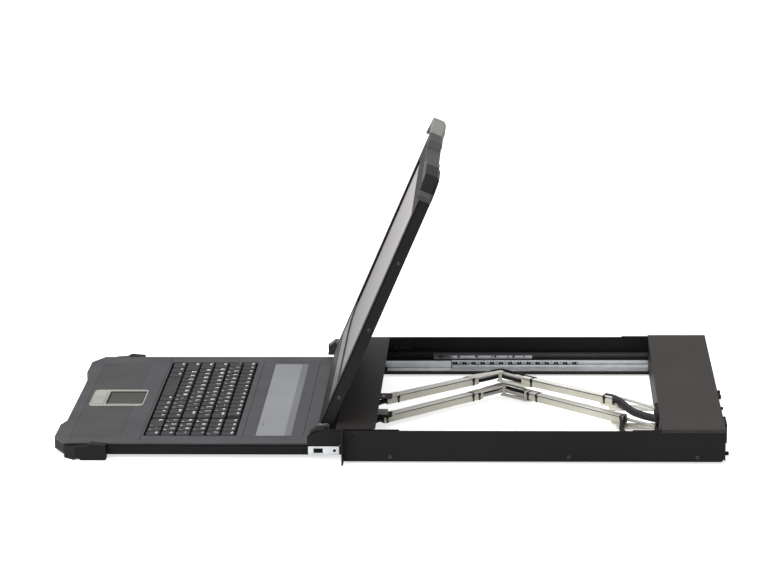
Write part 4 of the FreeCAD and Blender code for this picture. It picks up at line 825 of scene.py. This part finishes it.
def makeScreenBand():
    # the blank band below the picture, with its far corner swept up
    half, low, high = display["half"], display["windowLow"], display["bandTop"]
    wide, tall = display["sweepWide"], display["sweepTall"]
    outline = [(-half, low), (half, low), (half, high), (-half + wide, high)]
    outline += [(-half + wide - wide * math.sin(t), high + tall * (1 - math.cos(t))) for t in
                (math.radians(a) for a in range(15, 91, 15))]
    band = bmesh.new()
    skin(band, [[onDisplay(x, u, b) for x, u in outline] for b in (display["film"], display["band"])])
    newPiece("screenBand", band, "bandAndLitHingeAbs", "display")


def makeDeckDetails():
    # a dark line of painted shade round the touchpad, wider on its front and far sides; a darker band of painted
    # reflection along the lamp panel's rear; and the panel's sensor dot
    x0, x1, y0, y1 = deck["pad"]
    front, rear, far, near = deck["line"]
    top, thick = deck["padTop"] + deck["rise"], deck["thick"]
    # painted shade: the line is widest where the frame's shadow falls
    rim = bmesh.new()
    for a0, a1, b0, b1 in ((x0 + far, x1 - near, y0, y0 + front), (x0 + far, x1 - near, y1 - rear, y1),
                           (x0, x0 + far, y0, y1), (x1 - near, x1, y0, y1)):
        addPlate(rim, [(a0, b0), (a1, b0), (a1, b1), (a0, b1)], top - thick, top)
    newPiece("touchpadShadowLine", rim, "gapShadow", "keyboard_tray")
    x0, x1, y0, y1 = deck["lamp"]
    top = deck["lampTop"] + deck["rise"]
    # painted reflection: a darker band along the rear of the lamp panel
    band = bmesh.new()
    y0 = y1 - deck["bandDepth"]
    addPlate(band, [(x0, y0), (x1, y0), (x1, y1), (x0, y1)], top - thick, top)
    newPiece("lampPanelReflectionBand", band, "reflectionBandAcrylic", "keyboard_tray")
    dot = bmesh.new()
    radius = deck["dotRadius"]
    addTurned(dot, Vector((*deck["lampDot"], top - thick)), Vector((0, 0, 1)), [(radius, 0), (radius, thick)],
              sides=16)
    newPiece("lampPanelSensor", dot, "gapShadow", "keyboard_tray")


def makeRunnerFaces():
    # the tray runner's bare zinc face, which shows inside the frame behind the tray
    faces = bmesh.new()
    middle = (runner["front"] + runner["rear"]) / 2 + runner["backShift"]
    size = (runner["rear"] - runner["front"] - runner["endShort"], runner["high"] - runner["low"], runner["thick"])
    for side in (-1, 1):
        x = side * (runner["inner"] - runner["thick"] / 2)
        addBlock(faces, Vector((x, middle, (runner["low"] + runner["high"]) / 2)),
                 Vector((0, 1, 0)), Vector((0, 0, 1)), Vector((1, 0, 0)), size)
    newPiece("trayRunnerFaces", faces, "slideZinc", "keyboard_tray")


def makeRearFittings():
    # a raised collar round the power inlet, and the fixing posts above the sockets
    shape = bmesh.new()
    rear, out, depth = fittings["rear"], fittings["out"], fittings["depth"]
    for x, z, wide, tall in fittings["collar"]:
        addBlock(shape, Vector((x, (rear + out) / 2, z)), Vector((1, 0, 0)), Vector((0, 1, 0)), Vector((0, 0, 1)),
                 (wide, out - rear, tall))
    for x, z, radius in fittings["posts"]:
        addTurned(shape, Vector((x, rear, z)), Vector((0, 1, 0)),
                  [(radius, 0), (radius, out - rear - depth), (radius - depth, out - rear)], sides=6)
    newPiece("rearFittings", shape, "dullAbs", "chassis")


def paintLitFarSide(node, finish):
    # painted light: the far side's mouldings get a paler grey than those on the near side, standing in for the light
    # that falls on them there; a face belongs to the far side when all its corners lie beyond it
    mesh = nodes[node].data
    mesh.materials.append(finishes[finish])
    for face in mesh.polygons:
        if max(mesh.vertices[k].co.x for k in face.vertices) < display["farSide"] * mm:
            face.material_index = 1


makeScreenBand()
makeDeckDetails()
makeRunnerFaces()
makeRearFittings()
# painted light: the far faces of the end cap and hinge blocks are painted paler
paintLitFarSide("display_end_cap", "litCapAbs")
paintLitFarSide("hinge_blocks", "bandAndLitHingeAbs")
print("display and tray details made")


slides = {
    "display": {"z": -6.75, "span": (62.0, 244.5), "pitch": 23.0, "window": (2.2, 1.8), "radius": 0.5,
                "marks": False},
    "tray": {"z": -15.55, "span": (129.0, 311.0), "pitch": 13.0, "window": (6.2, 4.6), "radius": 1.5, "marks": True},
}
cage = {"window": 211.42, "thick": 0.12, "endGap": 3.0, "mark": (0.45, 0.3), "markRise": 0.25,
        "dome": [(1.0, 0.0), (0.85, 0.05), (0.5, 0.09), (0.01, 0.11)]}


def makeSlideBalls(name, slide):
    # a window in the cage for each ball, and a punched mark between two windows; windows and marks are thin dark
    # blocks of painted shade
    first, last = slide["span"][0] + cage["endGap"], slide["span"][1] - cage["endGap"]
    count = int((last - first) / slide["pitch"]) + 1
    start = (first + last - (count - 1) * slide["pitch"]) / 2
    wide, tall = slide["window"]
    along, across, up = Vector((0, 1, 0)), Vector((1, 0, 0)), Vector((0, 0, 1))
    balls = bmesh.new()
    gaps = bmesh.new()
    for side in (-1, 1):
        for k in range(count):
            y = start + k * slide["pitch"]
            place = Vector((side * (cage["window"] - cage["thick"] / 2), y, slide["z"]))
            addTurned(balls, place, Vector((-side, 0, 0)), [(r * slide["radius"], h) for r, h in cage["dome"]],
                      sides=12)
            addBlock(gaps, Vector((side * cage["window"], y, slide["z"])), along, across, up,
                     (wide, cage["thick"], tall))
            if slide["marks"] and k < count - 1:
                mark = Vector((side * cage["window"], y + slide["pitch"] / 2, slide["z"] + tall * cage["markRise"]))
                addBlock(gaps, mark, along, across, up,
                         (wide * cage["mark"][0], cage["thick"], tall * cage["mark"][1]))
    newPiece(name + "SlideBalls", balls, "chrome", name + "_cages", True)
    newPiece(name + "CageWindowShade", gaps, "gapShadow", name + "_cages")


for name, slide in slides.items():
    makeSlideBalls(name, slide)
print("slides made")


camera = {"place": (3.7833, 0.2303, 1.1452), "yaw": -2.772, "pitch": 14.743, "roll": -0.754, "lens": 136.72}


def aimCamera():
    yaw = math.radians(camera["yaw"])
    pitch = math.radians(camera["pitch"])
    roll = math.radians(camera["roll"])
    ahead = Vector((-math.cos(yaw) * math.cos(pitch), math.sin(yaw) * math.cos(pitch), -math.sin(pitch)))
    level = Vector((math.sin(yaw), math.cos(yaw), 0))
    over = level.cross(ahead)
    right = level * math.cos(roll) + over * math.sin(roll)
    up = over * math.cos(roll) - level * math.sin(roll)
    turn = Matrix((right, up, -ahead)).transposed().to_4x4()
    data = bpy.data.cameras.new("camera")
    data.lens = camera["lens"]
    eye = bpy.data.objects.new("camera", data)
    eye.matrix_world = Matrix.Translation(camera["place"]) @ turn
    bpy.context.scene.collection.objects.link(eye)
    bpy.context.scene.camera = eye


# the lamps are (place, size, power) in metres and watts, and each points at the origin
studio = {"floorSize": 30.0, "floorDrop": 0.5 * mm, "floorGrey": "#e9e9e9", "floorGlow": 0.68, "glowSeen": 0.5,
          "skyLevel": 0.55, "lamps": {"top light": ((0.2, -0.3, 2.2), 2.4, 60.0),
                                      "side light": ((2.4, -1.6, 1.4), 1.6, 26.0)}}


def softLight(name, place, size, power):
    data = bpy.data.lights.new(name, "AREA")
    data.size = size
    data.energy = power
    lamp = bpy.data.objects.new(name, data)
    lamp.location = place
    lamp.rotation_euler = (-Vector(place)).to_track_quat("-Z", "Y").to_euler()
    bpy.context.scene.collection.objects.link(lamp)


def setStage():
    # the floor and the world show pale to the camera and in reflections, and light the piece at a plain level
    material = bpy.data.materials.new("pale floor")
    material.use_nodes = True
    tree = material.node_tree
    tree.nodes.clear()
    paper = addNode(tree, "ShaderNodeBsdfDiffuse", {"Color": linearColour(studio["floorGrey"])})
    seen = addNode(tree, "ShaderNodeLightPath")
    share = addNode(tree, "ShaderNodeMath", {"operation": "MULTIPLY_ADD", "use_clamp": True, 1: studio["glowSeen"]},
                    {0: seen.outputs["Is Glossy Ray"], 2: seen.outputs["Is Camera Ray"]})
    level = addNode(tree, "ShaderNodeMath", {"operation": "MULTIPLY", 1: studio["floorGlow"]},
                    {0: share.outputs[0]})
    glow = addNode(tree, "ShaderNodeEmission", links={"Strength": level.outputs[0]})
    both = addNode(tree, "ShaderNodeAddShader", links={0: paper.outputs[0], 1: glow.outputs[0]})
    addNode(tree, "ShaderNodeOutputMaterial", links={"Surface": both.outputs[0]})
    half = studio["floorSize"] / 2
    low = cadBox[0][2] - studio["floorDrop"]
    mesh = bpy.data.meshes.new("floor")
    mesh.from_pydata([(-half, -half, low), (half, -half, low), (half, half, low), (-half, half, low)], [],
                     [(0, 1, 2, 3)])
    mesh.materials.append(material)
    floor = bpy.data.objects.new("floor", mesh)
    bpy.context.scene.collection.objects.link(floor)

    world = bpy.data.worlds.new("studio")
    world.use_nodes = True
    tree = world.node_tree
    tree.nodes.clear()
    seen = addNode(tree, "ShaderNodeLightPath")
    share = addNode(tree, "ShaderNodeMath", {"operation": "MAXIMUM"},
                    {0: seen.outputs["Is Camera Ray"], 1: seen.outputs["Is Transmission Ray"]})
    level = addNode(tree, "ShaderNodeMapRange", {"To Min": studio["skyLevel"], "To Max": 1.0},
                    {"Value": share.outputs[0]})
    sky = addNode(tree, "ShaderNodeBackground", {"Color": (1, 1, 1, 1)}, {"Strength": level.outputs[0]})
    addNode(tree, "ShaderNodeOutputWorld", links={"Surface": sky.outputs[0]})
    bpy.context.scene.world = world

    for name, (place, size, power) in studio["lamps"].items():
        softLight(name, place, size, power)
    bpy.context.scene.view_settings.view_transform = "Standard"


aimCamera()
setStage()
print("camera, floor and light set")
